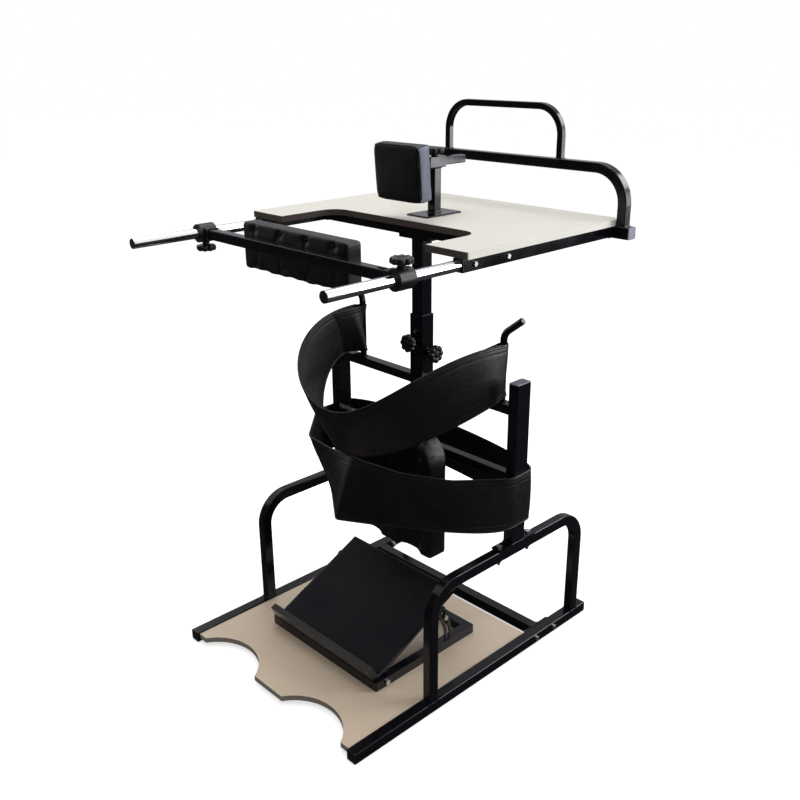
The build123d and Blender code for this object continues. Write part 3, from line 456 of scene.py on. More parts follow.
def zinc_steel(tone):
    """Zinc plate: crystalline tone changes and a satin surface."""
    recipe = Recipe("zinc_plate", tone, 0.3, metallic=1.0)
    crystals = recipe.cells(900)
    stain = recipe.noise(240, 4)
    recipe.bump(stain, 0.12, 0.0002)
    tint = recipe.toned(crystals, tone, 0.78, 0.0, 0.8)
    return recipe.done(tint, recipe.spread(stain, 0.22, 0.42))


def moulded_plastic(name, tone, gloss):
    """Moulded plastic: fine spark-eroded texture and flow marks."""
    recipe = Recipe(name, tone, gloss, specular=0.3)
    grain = recipe.cells(1500)
    flow = recipe.noise(38, 3)
    recipe.bump(grain, 0.18, 0.00012)
    rough = recipe.spread(flow, gloss - 0.06, gloss + 0.08)
    return recipe.done(recipe.toned(flow, tone, 1.5), rough)


def melamine(name, tone, edge):
    """Faced board: flecked pale face and outer sides. The other edges and the underside take a
    darker tone, painted shade for the shade those faces lie in.

    The height part of the surface's own normal is 1 on the face and under 0.6 elsewhere. Place
    times normal along X is over 0.3 m on an outer side, and under 0.2 m on every other edge."""
    recipe = Recipe(name, tone, 0.42, specular=0.4)
    fleck = recipe.noise(900, 3, 0.7)
    cloud = recipe.noise(5, 3)
    grain = recipe.noise(1, 5, 0.6, recipe.stretched((9, 150, 9)))
    face = recipe.toned(cloud, tone, 0.955)
    face = recipe.mixed(recipe.spread(grain, 0, 0.6, 0.42, 0.75), face, lighter(tone, 0.90))
    face = recipe.mixed(recipe.spread(fleck, 0, 0.5, 0.5, 0.75), face, lighter(tone, 0.86))
    # Painted shade on the edges and underside, with lighter chips in it.
    edge_shade_chips = recipe.toned(recipe.noise(330, 4, 0.7), edge, 1.5)
    upward = recipe.spread(recipe.part("Normal", "Z"), 0, 1, 0.55, 0.65)
    outward = recipe.joined("MULTIPLY", recipe.part("Normal", "X"), recipe.part("Object", "X"))
    # Painted shade mask: 1 where the pale face tone goes, 0 on the shaded edges and underside.
    unshaded = recipe.joined("MAXIMUM", upward, recipe.spread(outward, 0, 1, 0.2, 0.3))
    recipe.bump(fleck, 0.10, 0.00010)
    rough = recipe.spread(upward, 0.62, 0.40, 0.0, 1.0)
    return recipe.done(recipe.mixed(unshaded, edge_shade_chips, face), rough)


def synthetic_leather(name, tone, ends=None):
    """Coated leather cloth: pebbled grain with creases, duller where the grain is deep.

    The ends take a second, lighter colour where the surface's own normal is nearly along X: the
    colour of the end cloth, lightened as a painted sheen from the light at the right."""
    recipe = Recipe(name, tone, 0.38, specular=0.28)
    pebbles = recipe.cells(760)
    creases = recipe.cells(240, "DISTANCE_TO_EDGE")
    slack = recipe.noise(17, 3)
    recipe.bump(slack, 0.30, 0.006)
    recipe.bump(recipe.spread(creases, 0, 1, 0.0, 0.12), 0.10, 0.0004)
    recipe.bump(pebbles, 0.42, 0.00028)
    tint = recipe.toned(slack, tone, 1.8)
    if ends:
        across = recipe.joined("ABSOLUTE", recipe.part("Normal", "X"))
        cloth = recipe.mixed(recipe.spread(slack, 0, 1), lighter(ends, 0.85), ends)
        # Painted sheen: both ends get the lighter colour that stands for the light from the right.
        tint = recipe.mixed(recipe.spread(across, 0, 1, 0.7, 0.85), tint, cloth)
    return recipe.done(tint, recipe.spread(recipe.noise(90, 3), 0.33, 0.47))


def fine_grained(name, tone, roughness, scale, detail, strength, distance):
    """One fine texture for relief and tone: twisted thread, or the skin of a weld bead."""
    recipe = Recipe(name, tone, roughness, specular=0.2)
    grain = recipe.noise(scale, detail)
    recipe.bump(grain, strength, distance)
    return recipe.done(recipe.toned(grain, tone, 1.6))


def studded_rubber(tone):
    """Rubber: matt, with worn, slightly polished patches."""
    recipe = Recipe("studded_rubber", tone, 0.55, specular=0.10)
    worn = recipe.noise(11, 4)
    powder = recipe.noise(600, 3)
    recipe.bump(powder, 0.2, 0.0002)
    return recipe.done(recipe.toned(worn, tone, 1.9), recipe.spread(worn, 0.42, 0.66))


FINISHES = {}


def fresh_finishes(tones):
    """One material for each finish of the frame, by its short name."""
    FINISHES.clear()
    FINISHES.update({
        "black_paint": painted_steel(tones.paint),
        "chrome": plated_steel(tones.chrome),
        "bolt_steel": zinc_steel(tones.zinc),
        "black_plastic": moulded_plastic("knob_plastic", tones.plastic, 0.34),
        "pale_plastic": moulded_plastic("cap_plastic", tones.cap, 0.4),
        "table_board": melamine("table_melamine", tones.table, tones.table_edge_shade),
        "standing_board": melamine("board_melamine", tones.footboard, tones.board_edge_shade),
        "black_leather": synthetic_leather("synthetic_leather", tones.leather),
        "sheen_ended_leather": synthetic_leather("sheen_ended_leather", tones.leather, tones.boxing),
        "thread": fine_grained("sewing_thread", tones.thread, 0.6, 1400, 2, 0.4, 0.0002),
        "black_rubber": studded_rubber(tones.rubber),
        "weld": fine_grained("painted_weld", tones.paint, 0.24, 700, 3, 0.35, 0.0004),
    })


def node_finish(node, slot):
    """Short name of the finish a rigid node gets: boards by their own name, the rest by slot."""
    return node if node in FINISHES else slot


# ---- soft goods --------------------------------------------------------------------------
def shown_mesh(piece):
    """Mesh of the piece with its modifiers worked in."""
    graph = bpy.context.evaluated_depsgraph_get()
    graph.update()
    return bpy.data.meshes.new_from_object(piece.evaluated_get(graph))


def tight_copy(node, tight):
    """Merged copy of a node's mesh, scaled about its middle until each side is tight smaller."""
    mesh = tidy_shell(frame["nodes"][node].data.copy(), turn=False)
    points = mesh_points(mesh)
    low, high = points.min(0), points.max(0)
    middle, reach = (low + high) / 2, (high - low) / 2
    return moved(mesh, middle + (points - middle) * (reach - tight) / reach)


BLOW_FRAMES = 20


def blown_up(cushion, held, sewing, give):
    """Points of the cushion's mesh once its cover is blown up as cloth under a light pressure.

    The held points stay, as a seam does. No point moves further than the swell, and give is the
    share of its way that it goes."""
    points = mesh_points(cushion.data)
    seam = cushion.vertex_groups.new(name="seam")
    seam.add(np.nonzero(held(points))[0].tolist(), 1.0, "REPLACE")
    cloth = cushion.modifiers.new("blown", "CLOTH")
    cover = cloth.settings
    cover.quality, cover.mass = 6, 0.25
    cover.tension_stiffness = cover.compression_stiffness = 18
    cover.shear_stiffness, cover.bending_stiffness = 8, 0.6
    cover.use_pressure, cover.uniform_pressure_force = True, 4
    cover.vertex_group_mass = "seam"
    cover.effector_weights.gravity = 0
    cloth.point_cache.frame_start, cloth.point_cache.frame_end = 1, BLOW_FRAMES
    scene = bpy.context.scene
    for frame in range(1, BLOW_FRAMES + 1):
        scene.frame_set(frame)
    move = mesh_points(shown_mesh(cushion)) - points
    scene.frame_set(1)
    cushion.modifiers.remove(cloth)
    cushion.vertex_groups.clear()
    reach = np.linalg.norm(move, axis=1, keepdims=True)
    return points + give * move * np.minimum(1, sewing.swell / np.maximum(reach, 1e-9))


def blown_cushion(name, node, body, held, shape, sewing, give=1.0, finish="black_leather"):
    """Cushion: tight copy of the node, remeshed evenly and blown up.

    held(points) says which points stay, and shape(points, normals) then presses seams and tufts
    into it."""
    mesh = tight_copy(node, sewing.tight)
    cushion = piece_of(name, mesh, body, finish, "black_leather")
    evener = cushion.modifiers.new("even", "REMESH")
    evener.mode, evener.voxel_size = "VOXEL", sewing.voxel
    remeshed = shown_mesh(cushion)
    cushion.modifiers.clear()
    cushion.data = remeshed
    moved(remeshed, blown_up(cushion, held, sewing, give))
    moved(remeshed, shape(mesh_points(remeshed), mesh_points(remeshed, "normal")))
    remeshed.materials.clear()
    remeshed.materials.append(FINISHES[finish])
    remeshed.shade_smooth()
    softened = cushion.modifiers.new("softened", "SUBSURF")
    softened.levels = softened.render_levels = 1
    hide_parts(node)
    return cushion


def box_edges(points, low, high, within):
    """True for points close to two or more sides of a box, which is along its edges."""
    near = np.minimum(points - low, high - points) < within
    return near.sum(axis=1) >= 2


def pressed(points, normals, distance, depth, width):
    """Points moved in along their normals by depth * exp(-(distance / width)^2)."""
    return points - normals * (depth * np.exp(-(distance / width) ** 2))[:, None]


THICK = 20 * MM         # half thickness that no belt reaches
STRAP_INNER = 2.9 * MM  # inner half of the knee strap, so that it lies on the posts
SEAM_DEPTH = 1.5 * MM
SEAM_WIDTH = 1.8 * MM


def belt_shell(lower, upper, half, inner_most=THICK):
    """Closed padded strip between two edge paths.

    Column u runs from the lower to the upper path. At v = (1 - cos w) / 2 of that way the outer
    face stands half(u, v) off the straight line, times (1 - (2v - 1)^12)^0.5, and the inner face
    as far on its other side, but inner_most at the most."""
    w = np.linspace(0, math.pi, 45)
    v = (1 - np.cos(w)) / 2
    out = unit(np.cross(heading((lower + upper) / 2), upper - lower))
    line = lower[:, None] + v[None, :, None] * (upper - lower)[:, None]
    rounded = np.sqrt(np.maximum(1 - (2 * v - 1) ** 12, 0))
    offset = half(np.linalg.norm(upper - lower, axis=1)[:, None], v[None]) * rounded
    outer = line + offset[..., None] * out[:, None]
    inner = line - np.minimum(offset, inner_most)[..., None] * out[:, None]
    return np.concatenate([outer, inner[:, ::-1]], axis=1), out


def belt_profile(sewing, fullness):
    """Half thickness of a belt over its height: thin sewn edges, padded middle, two sunk seams.

    With d the way to the nearer edge: edge + fullness * (pad - edge) * step(d), less
    1.5 mm * exp(-(d - seam)^2 / (1.8 mm)^2) at each of the two seams."""
    def half(height, v):
        d = height * np.minimum(v, 1 - v)
        first = sewing.seam
        second = sewing.seam + sewing.seam_gap
        body = sewing.belt_edge + fullness * (sewing.belt_pad - sewing.belt_edge) * (
            0.45 * step(0, first, d) + 0.55 * step(first, 3.2 * second, d))
        sunk = sum(SEAM_DEPTH * np.exp(-((d - place) / SEAM_WIDTH) ** 2)
                   for place in (first, second))
        return np.maximum(body - fullness * sunk, 0.8 * MM)
    return half


def belt_trim(lower, upper, out, sewing, profile, closed, inner_most=THICK):
    """Piping along both edges and four rows of stitches, outside and inside."""
    height = np.linalg.norm(upper - lower, axis=1)
    up = (upper - lower) / height[:, None]
    edges = [swept(edge, out, up, sewing.piping, 10, closed)
             for edge in (lower + 0.4 * MM * up, upper - 0.4 * MM * up)]
    threads = []
    for place in (sewing.seam, sewing.seam + sewing.seam_gap):
        for start, turn in ((lower, 1), (upper, -1)):
            row = start + turn * place * up
            stand = profile(height, place / height)[:, None]
            for face in (1, -1):
                height_out = stand if face > 0 else np.minimum(stand, inner_most)
                line = row + face * (height_out - 0.1 * MM) * out
                run = np.linalg.norm(np.diff(line, axis=0), axis=1).sum()
                count = int(run / sewing.stitch)
                middle = even(line, count, closed)[2:-2]
                pull = heading(middle)
                at = np.linspace(0, len(line) - 1, count)[2:-2]
                facing = np.stack([np.interp(at, np.arange(len(line)), out[:, k])
                                   for k in range(3)], axis=-1) * face
                facing = unit(facing - pull * (facing * pull).sum(1, keepdims=True))
                threads.append(stitches(middle, pull, facing, sewing.stitch, sewing.thread))
    return gathered(edges), gathered(threads)


def mirrored_path(half):
    """Whole path from its right half, which starts in the middle."""
    other = half[:0:-1] * np.array([-1, 1, 1])
    return np.vstack([other, half])


# ---- operators ---------------------------------------------------------------------------
class STANDING_FRAME_OT_camera(bpy.types.Operator):
    """Place the camera"""

    bl_idname = "standing_frame.camera"
    bl_label = "Camera"

    def execute(self, context):
        stage = context.scene.standing_frame_stage
        data = bpy.data.cameras.new("camera")
        data.sensor_width, data.lens = 36, stage.lens
        data.clip_end = 100
        camera = placed("camera", data)
        yaw, pitch, roll = stage.yaw, stage.pitch, stage.roll
        ahead = Vector((-math.sin(yaw) * math.cos(pitch), math.cos(yaw) * math.cos(pitch),
                        -math.sin(pitch)))
        right = Vector((math.cos(yaw), math.sin(yaw), 0))
        up = right.cross(ahead)
        right, up = (right * math.cos(roll) + up * math.sin(roll),
                     up * math.cos(roll) - right * math.sin(roll))
        turn = Matrix((right, up, -ahead)).transposed().to_4x4()
        camera.matrix_world = Matrix.Translation(stage.place) @ turn
        context.scene.camera = camera
        return {"FINISHED"}


class STANDING_FRAME_OT_stage(bpy.types.Operator):
    """Lay the floor and hang the soft lights"""

    bl_idname = "standing_frame.stage"
    bl_label = "Stage"

    def execute(self, context):
        stage = context.scene.standing_frame_stage
        context.scene.view_settings.view_transform = "Standard"
        self.floor(stage)
        self.sky(context, stage)
        self.dark_room(stage)
        self.lamp("top_lamp", (-0.5, 0.9, 4.6), (0, 0.05, 0.9), 3.2, stage.top_lamp)
        side = self.lamp("side_lamp", (3.0, 2.9, 1.45), (0, 0, 1.1), 1.7, stage.side_lamp)
        side.data.color = (0.93, 0.96, 1.0)
        window = self.lamp("window", (1.9, 3.4, 3.2), (0, 0, 1.2), 2.6, stage.window)
        window.data.shape, window.data.size_y = "RECTANGLE", 1.5
        window.visible_diffuse = False
        return {"FINISHED"}

    def backdrop(self, name, points, faces, tone, glow_tone):
        """Matt surface, and the recipe of its material."""
        recipe = Recipe(name, tone, 0.9, specular=0.0)
        recipe.shader["Emission Color"].default_value = (*glow_tone, 1)
        mesh = bpy.data.meshes.new(name)
        mesh.from_pydata(points.tolist(), [], faces.tolist())
        mesh.materials.append(recipe.material)
        return placed(name, mesh), recipe

    def floor(self, stage):
        """Pale floor: white to the camera and in reflections, and still darkened by shadow."""
        line = np.linspace(-stage.floor / 2, stage.floor / 2, 9)
        floor, recipe = self.backdrop("floor", wound(line[:, None], line, 0.0), grid_faces(9, 9),
                                      (0.86, 0.86, 0.86), (1, 1, 1))
        self.lift(recipe.tree, recipe.shader["Emission Strength"], stage.glow, 0.0)

    def wall(self, left, right, y, top):
        """Upright wall across the room, just clear of the floor."""
        return wound(np.array([[left], [right]]), y, np.array([0.02, top])), grid_faces(2, 2)

    def dark_room(self, stage):
        """Unlit front wall and floor, and a dim rear wall: only gloss and chrome show them."""
        angle, r = circle(48)[:, None], np.array([0.1, 9.0])
        ring = wound(r * np.cos(angle), r * np.sin(angle), 3 * MM)
        dark = gathered([self.wall(-5.0, 5.0, -3.4, stage.dark_wall),
                         (ring, grid_faces(48, 2, True))])
        rear = self.wall(-9.0, 1.2, 4.7, 7.0)
        for name, surfaces, glow in (("dark_room", dark, stage.dark_glow),
                                     ("rear_wall", rear, stage.rear_wall)):
            room, recipe = self.backdrop(name, *surfaces, (0.012, 0.012, 0.015),
                                         (0.93, 0.93, 1.0))
            recipe.shader["Emission Strength"].default_value = glow
            room.visible_camera = room.visible_diffuse = room.visible_shadow = False
            room.visible_transmission = False

    def sky(self, context, stage):
        """Even light, white where the camera, gloss or glass sees it."""
        world = bpy.data.worlds.new("sky")
        world.use_nodes = True
        background = world.node_tree.nodes["Background"]
        background.inputs["Color"].default_value = (1, 1, 1, 1)
        self.lift(world.node_tree, background.inputs["Strength"], 1.0, stage.sky)
        context.scene.world = world

    def lift(self, tree, socket, seen, unseen):
        """Strength seen for camera, glossy and transmission rays, and unseen for all others."""
        path = tree.nodes.new("ShaderNodeLightPath").outputs
        either = path["Is Camera Ray"]
        for kind in ("Is Glossy Ray", "Is Transmission Ray"):
            either = added(tree, "Math", {0: either, 1: path[kind]}, 0, operation="MAXIMUM")
        strength = added(tree, "MapRange", {"Value": either, "To Min": unseen, "To Max": seen},
                         "Result")
        tree.links.new(strength, socket)

    def lamp(self, name, place, target, size, power):
        """Square soft light that faces the target."""
        data = bpy.data.lights.new(name, "AREA")
        data.shape, data.size, data.energy = "SQUARE", size, power
        lamp = placed(name, data)
        ahead = Vector(target) - Vector(place)
        turn = ahead.to_track_quat("-Z", "Y").to_matrix().to_4x4()
        lamp.matrix_world = Matrix.Translation(place) @ turn
        return lamp


class STANDING_FRAME_OT_finishes(bpy.types.Operator):
    """Give every rigid part its finish"""

    bl_idname = "standing_frame.finishes"
    bl_label = "Finishes"

    def execute(self, context):
        fresh_finishes(context.scene.standing_frame_finish)
        for name, node in frame["nodes"].items():
            for place in node.material_slots:
                slot = place.material.name.split(".")[0]
                place.material = FINISHES[node_finish(name, slot)]
        return {"FINISHED"}


class STANDING_FRAME_OT_back_rest(bpy.types.Operator):
    """Sew the back rest: a tufted cushion with boxed sides"""

    bl_idname = "standing_frame.back_rest"
    bl_label = "Back rest"

    def execute(self, context):
        sewing = context.scene.standing_frame_sewing
        low, high = np.array(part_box("back_pad"))
        bar_low, bar_high = np.array(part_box("back_bar"))
        across = (np.arange(sewing.tufts) + 0.5) / sewing.tufts
        x = (low[0] + (high[0] - low[0]) * across)[:, None]
        rows = np.array([(bar_high[2] + high[2]) / 2, low[2] + 16 * MM])[None]
        tufts = np.stack(np.broadcast_arrays(x, rows), axis=-1).reshape(-1, 2)
        deep = np.tile([6.2 * MM, 2.6 * MM], sewing.tufts)

        def held(points):
            return box_edges(points, low + sewing.tight, high - sewing.tight, 7 * MM)

        def shape(points, normals):
            """Tufts of depth deep exp(-(r / 9 mm)^2), each in a ring of five creases.

            The cover lies on the bar, its lower edge hangs slack, and it is pulled wider."""
            crease_depth, slack_depth, widened, clear = 1.2 * MM, 2.2 * MM, 1.024, 2 * MM
            rear = step(0.6, 0.9, -normals[:, 1])
            offset = points[:, None, [0, 2]] - tufts[None]
            r = np.linalg.norm(offset, axis=2) / MM
            angle = np.arctan2(offset[..., 1], offset[..., 0])
            depth = deep * np.exp(-(r / 9) ** 2)
            rings = np.cos(5 * angle + 1 + 40 * tufts[None, :, 0])
            crease = crease_depth * rings * (r / 22) * np.exp(-(r / 26) ** 2)
            points = points.copy()
            points[:, 1] += rear * (depth + crease).sum(axis=1)
            beside = (points[:, 2] > bar_low[2] - clear) & (points[:, 2] < bar_high[2] + clear)
            lying = np.maximum(points[:, 1], bar_high[1] + 0.3 * MM)
            points[:, 1] = np.where(beside, lying, points[:, 1])
            slack = slack_depth * np.sin(95 * points[:, 0] + 1.3) * np.sin(41 * points[:, 0])
            points[:, 2] += slack * step(low[2] + 20 * MM, low[2], points[:, 2])
            middle = (low[0] + high[0]) / 2
            points[:, 0] = middle + widened * (points[:, 0] - middle)
            return points

        blown_cushion("back_rest_cushion", "back_pad", "back_support", held, shape, sewing)
        self.buttons(tufts[::2], low)
        return {"FINISHED"}

    def buttons(self, tufts, low):
        """Covered buttons in the tufts: flat balls of radius 3.8 mm, 3 mm thick."""
        lift = np.linspace(0, math.pi, 9)[:, None]
        ball, faces = turned(3.8 * MM * np.sin(lift), -1.5 * MM * np.cos(lift), 20)
        parts = [(ball[:, [0, 2, 1]] + (x, low[1] + 6 * MM, z), faces) for x, z in tufts]
        surface("back_rest_buttons", *gathered(parts), "back_support", "black_leather")


CHEST_LEAN = math.radians(4.5)


class STANDING_FRAME_OT_chest_rest(bpy.types.Operator):
    """Sew the chest rest: a leaning cushion with a seam round its face"""

    bl_idname = "standing_frame.chest_rest"
    bl_label = "Chest rest"

    def execute(self, context):
        sewing = context.scene.standing_frame_sewing
        points = mesh_points(frame["nodes"]["chest_pad"].data)
        turn = np.array(Matrix.Rotation(CHEST_LEAN, 3, "X"))
        upright = points @ turn
        low, high = upright.min(0), upright.max(0)

        def held(points):
            return box_edges(points @ turn, low + sewing.tight, high - sewing.tight, 6 * MM)

        def shape(points, normals):
            """Seam along the front and rear edge of the boxing, pressed 1.3 mm deep."""
            local = points @ turn
            side = np.minimum(local - low, high - local)[:, [0, 2]].min(axis=1)
            for seam_y in (low[1] + 9 * MM, high[1] - 7 * MM):
                distance = np.hypot(np.maximum(side - 4 * MM, 0), local[:, 1] - seam_y)
                points = pressed(points, normals, distance, 1.3 * MM, 2.2 * MM)
            local = points @ turn
            local[:, 1] = np.minimum(local[:, 1], high[1])
            return local @ turn.T

        blown_cushion("chest_rest_cushion", "chest_pad", "chest_support", held, shape, sewing,
                      finish="sheen_ended_leather")
        self.seams(low, high, turn)
        return {"FINISHED"}

    def seams(self, low, high, turn):
        """Piping round the face, along the rounded rectangle |x/a|^9 + |z/b|^9 = 1."""
        count, square, radius = 240, 9, 1.9 * MM
        half = (high - low) / 2 - 4.2 * MM
        middle = (high + low) / 2
        c, s = np.cos(circle(count)), np.sin(circle(count))
        size = (np.abs(c) ** square + np.abs(s) ** square) ** (-1 / square)
        path = even(wound(middle[0] + half[0] * size * c, low[1] + 6.2 * MM,
                          middle[2] + half[2] * size * s), count, True)
        along = heading(path, True)
        forward = np.broadcast_to([0.0, 1.0, 0.0], path.shape)
        out = unit(np.cross(along, forward))
        points, faces = swept(path, out, forward, radius, 10, True)
        surface("chest_rest_piping", points @ turn.T, faces, "chest_support", "black_leather")


class STANDING_FRAME_OT_knee_rest(bpy.types.Operator):
    """Sew the knee rest: two shin channels under a lobed top"""

    bl_idname = "standing_frame.knee_rest"
    bl_label = "Knee rest"

    def execute(self, context):
        sewing = context.scene.standing_frame_sewing
        low, high = np.array(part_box("knee_pad"))

        def held(points):
            rear = high[1] - points[:, 1] < sewing.tight + 4 * MM
            foot = (points[:, 2] - low[2] < 8 * MM) & (points[:, 1] - low[1] < 30 * MM)
            return rear | foot

        def shape(points, normals):
            """Upright seam between the channels, a level one under the lobes, a tuft in each."""
            seam_z, tuft_x, tuft_z = 0.478, 0.118, 0.575
            inward = normals * step(0.2, 0.6, -normals[:, 1])[:, None]
            level = points[:, 2] - seam_z
            points = pressed(points, inward, points[:, 0], 2.5 * MM, 6 * MM)
            points = pressed(points, inward, level, 1.8 * MM, 6 * MM)
            for side in (-1, 1):
                r = np.hypot(points[:, 0] - side * tuft_x, points[:, 2] - tuft_z)
                points = pressed(points, inward, r, 6 * MM, 11 * MM)
            points[:, 1] = np.minimum(points[:, 1], high[1])
            return points

        blown_cushion("knee_rest_cushion", "knee_pad", "knee_support", held, shape, sewing, 0.45)
        return {"FINISHED"}


class STANDING_FRAME_OT_hip_sling(bpy.types.Operator):
    """Sew the hip sling and wrap its ends round the hooks"""

    bl_idname = "standing_frame.hip_sling"
    bl_label = "Hip sling"

    def execute(self, context):
        sewing = context.scene.standing_frame_sewing
        low, high = np.array(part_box("sling_hook_right"))
        hook_y = (low[1] + high[1]) / 2
        hook_x, hook_z = low[0] + 9 * MM, 0.8
        wrap = sewing.wrap
        end = (hook_x + wrap, hook_y - 2 * MM)
        t = np.linspace(0, 1, 90)
        edges = []
        for start, pull, swing, end_z in (
                ((0, -0.132, 0.593), (0.154, -0.132, 0.593), (0.335, 0.060, 0.764), 0.7425),
                ((0, -0.193, 0.730), (0.157, -0.193, 0.730), (0.254, -0.128, 0.902), 0.880)):
            belt = curve((start, pull, swing, (*end, end_z)), t)
            angle = np.radians(np.linspace(8, 186, 34))
            ring = np.stack([hook_x + wrap * np.cos(angle), hook_y + wrap * np.sin(angle),
                             np.full_like(angle, end_z)], axis=-1)
            lap = belt[-4:-17:-1]
            ease = np.linspace(0, 1, len(lap))[:, None] ** 0.7
            lap = lap - np.array([6.6 * MM, 0, 0]) * (1 - step(0.35, 0.95, ease))
            lap[:, 2] += (4 * MM if end_z < hook_z else -4 * MM) * ease[:, 0]
            leaving = np.array([hook_x - wrap, hook_y - 4 * MM, end_z])
            lap = (1 - ease) * (leaving + (lap - lap[0]) * [0.3, 0.5, 0]) + ease * lap
            edges.append(mirrored_path(even(np.vstack([belt, ring, lap]), 230)))
        lower, upper = (eased(edge, 5) for edge in edges)
        place = np.abs(np.linspace(-1, 1, len(lower)))[:, None]
        slim = (1 - 0.55 * step(0.66, 0.80, place)) * (1 - 0.6 * step(0.95, 1.0, place))
        half = belt_profile(sewing, 1.0)

        def profile(height, v):
            return half(height, v) * slim

        points, out = belt_shell(lower, upper, profile)
        rows, columns = points.shape[:2]
        faces = grid_faces(rows, columns, False, True)
        lids = np.array([[base + k, base + columns - 1 - k, base + columns - 2 - k, base + k + 1]
                         for base in (0, (rows - 1) * columns) for k in range(columns // 2 - 1)])
        sling = surface("hip_sling_belt", points, np.vstack([faces, lids]), "sling",
                        "black_leather")
        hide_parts("hip_sling")
        keep = slice(60, -60)
        trim, threads = belt_trim(lower[keep], upper[keep], out[keep], sewing,
                                  lambda h, v: half(h, v) * slim[keep, 0], False)
        surface("hip_sling_piping", *trim, "sling", "black_leather")
        surface("hip_sling_stitching", *threads, "sling", "thread", "black_leather")
        return {"FINISHED"}


class STANDING_FRAME_OT_knee_strap(bpy.types.Operator):
    """Sew the knee strap round both posts"""

    bl_idname = "standing_frame.knee_strap"
    bl_label = "Knee strap"

    def execute(self, context):
        sewing = context.scene.standing_frame_sewing
        low, high = np.array(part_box("knee_strap"))
        side_x = high[0] - 3 * MM
        user_y = low[1] + 3 * MM
        far_y = high[1] - 3 * MM
        post_y = 0.114
        t = np.linspace(0, 1, 80)
        wrap = curve(((side_x, 0.174, 0), (side_x, 0.208, 0), (0.200, far_y, 0), (0, far_y, 0)), t)
        wrap = np.vstack([(side_x, post_y, 0), wrap])

        def side(rear, far):
            """Half an edge: from the user's middle past a post to the far middle."""
            front = even(wrap, 96)[1:]
            front[:, 2] = np.linspace(rear[-1][2], far, 96)[1:]
            return np.vstack([eased(even(np.asarray(rear), 96), 8), front])

        bowed = curve(((0, user_y, 0.419), (0.190, -0.066, 0.419), (side_x, 0.034, 0.420),
                       (side_x, post_y, 0.421)), t)
        taut = [(0, user_y, 0.419), (0.178, -0.040, 0.419), (side_x, 0.094, 0.421),
                (side_x, post_y, 0.421)]
        leaning = [(0, -0.112, 0.578), (0.023, -0.111, 0.576), (0.131, -0.068, 0.560),
                   (0.240, 0.005, 0.550), (0.298, 0.055, 0.555), (side_x, 0.104, 0.561),
                   (side_x, post_y, 0.561)]
        loose = [(0, -0.112, 0.578), (0.100, -0.097, 0.563), (0.218, -0.081, 0.560),
                 (side_x, 0.060, 0.561), (side_x, post_y, 0.561)]
        edges = []
        for right, left, far in ((bowed, taut, 0.442), (leaning, loose, 0.575)):
            mirrored = side(left, far)[-2:0:-1] * np.array([-1, 1, 1])
            edges.append(eased(np.vstack([side(right, far), mirrored]), 4, True))
        lower, upper = edges
        half = belt_profile(sewing, 0.75)
        wrapped = [np.vstack([edge[-1:], edge, edge[:1]]) for edge in (lower, upper)]
        points, out = (rows[1:-1] for rows in belt_shell(*wrapped, half, STRAP_INNER))
        faces = grid_faces(*points.shape[:2], True, True)
        strap = surface("knee_strap_belt", points, faces, "strap", "black_leather")
        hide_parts("knee_strap")
        trim, threads = belt_trim(lower, upper, out, sewing, half, True, STRAP_INNER)
        surface("knee_strap_piping", *trim, "strap", "black_leather")
        surface("knee_strap_stitching", *threads, "strap", "thread", "black_leather")
        return {"FINISHED"}


KNOBS = {
    "column_knob_front": ("front_clamp", (0, -1, 0)),
    "column_knob_side": ("side_clamp", (1, 0, 0)),
    "back_knob_right": ("right_clamp", (0, 0, 1)),
    "back_knob_left": ("left_clamp", (0, 0, -1)),
    "chest_knob": ("chest_clamp", (0, 0, 1)),
    "knee_knob": ("knee_clamp", (0, 0, -1)),
}


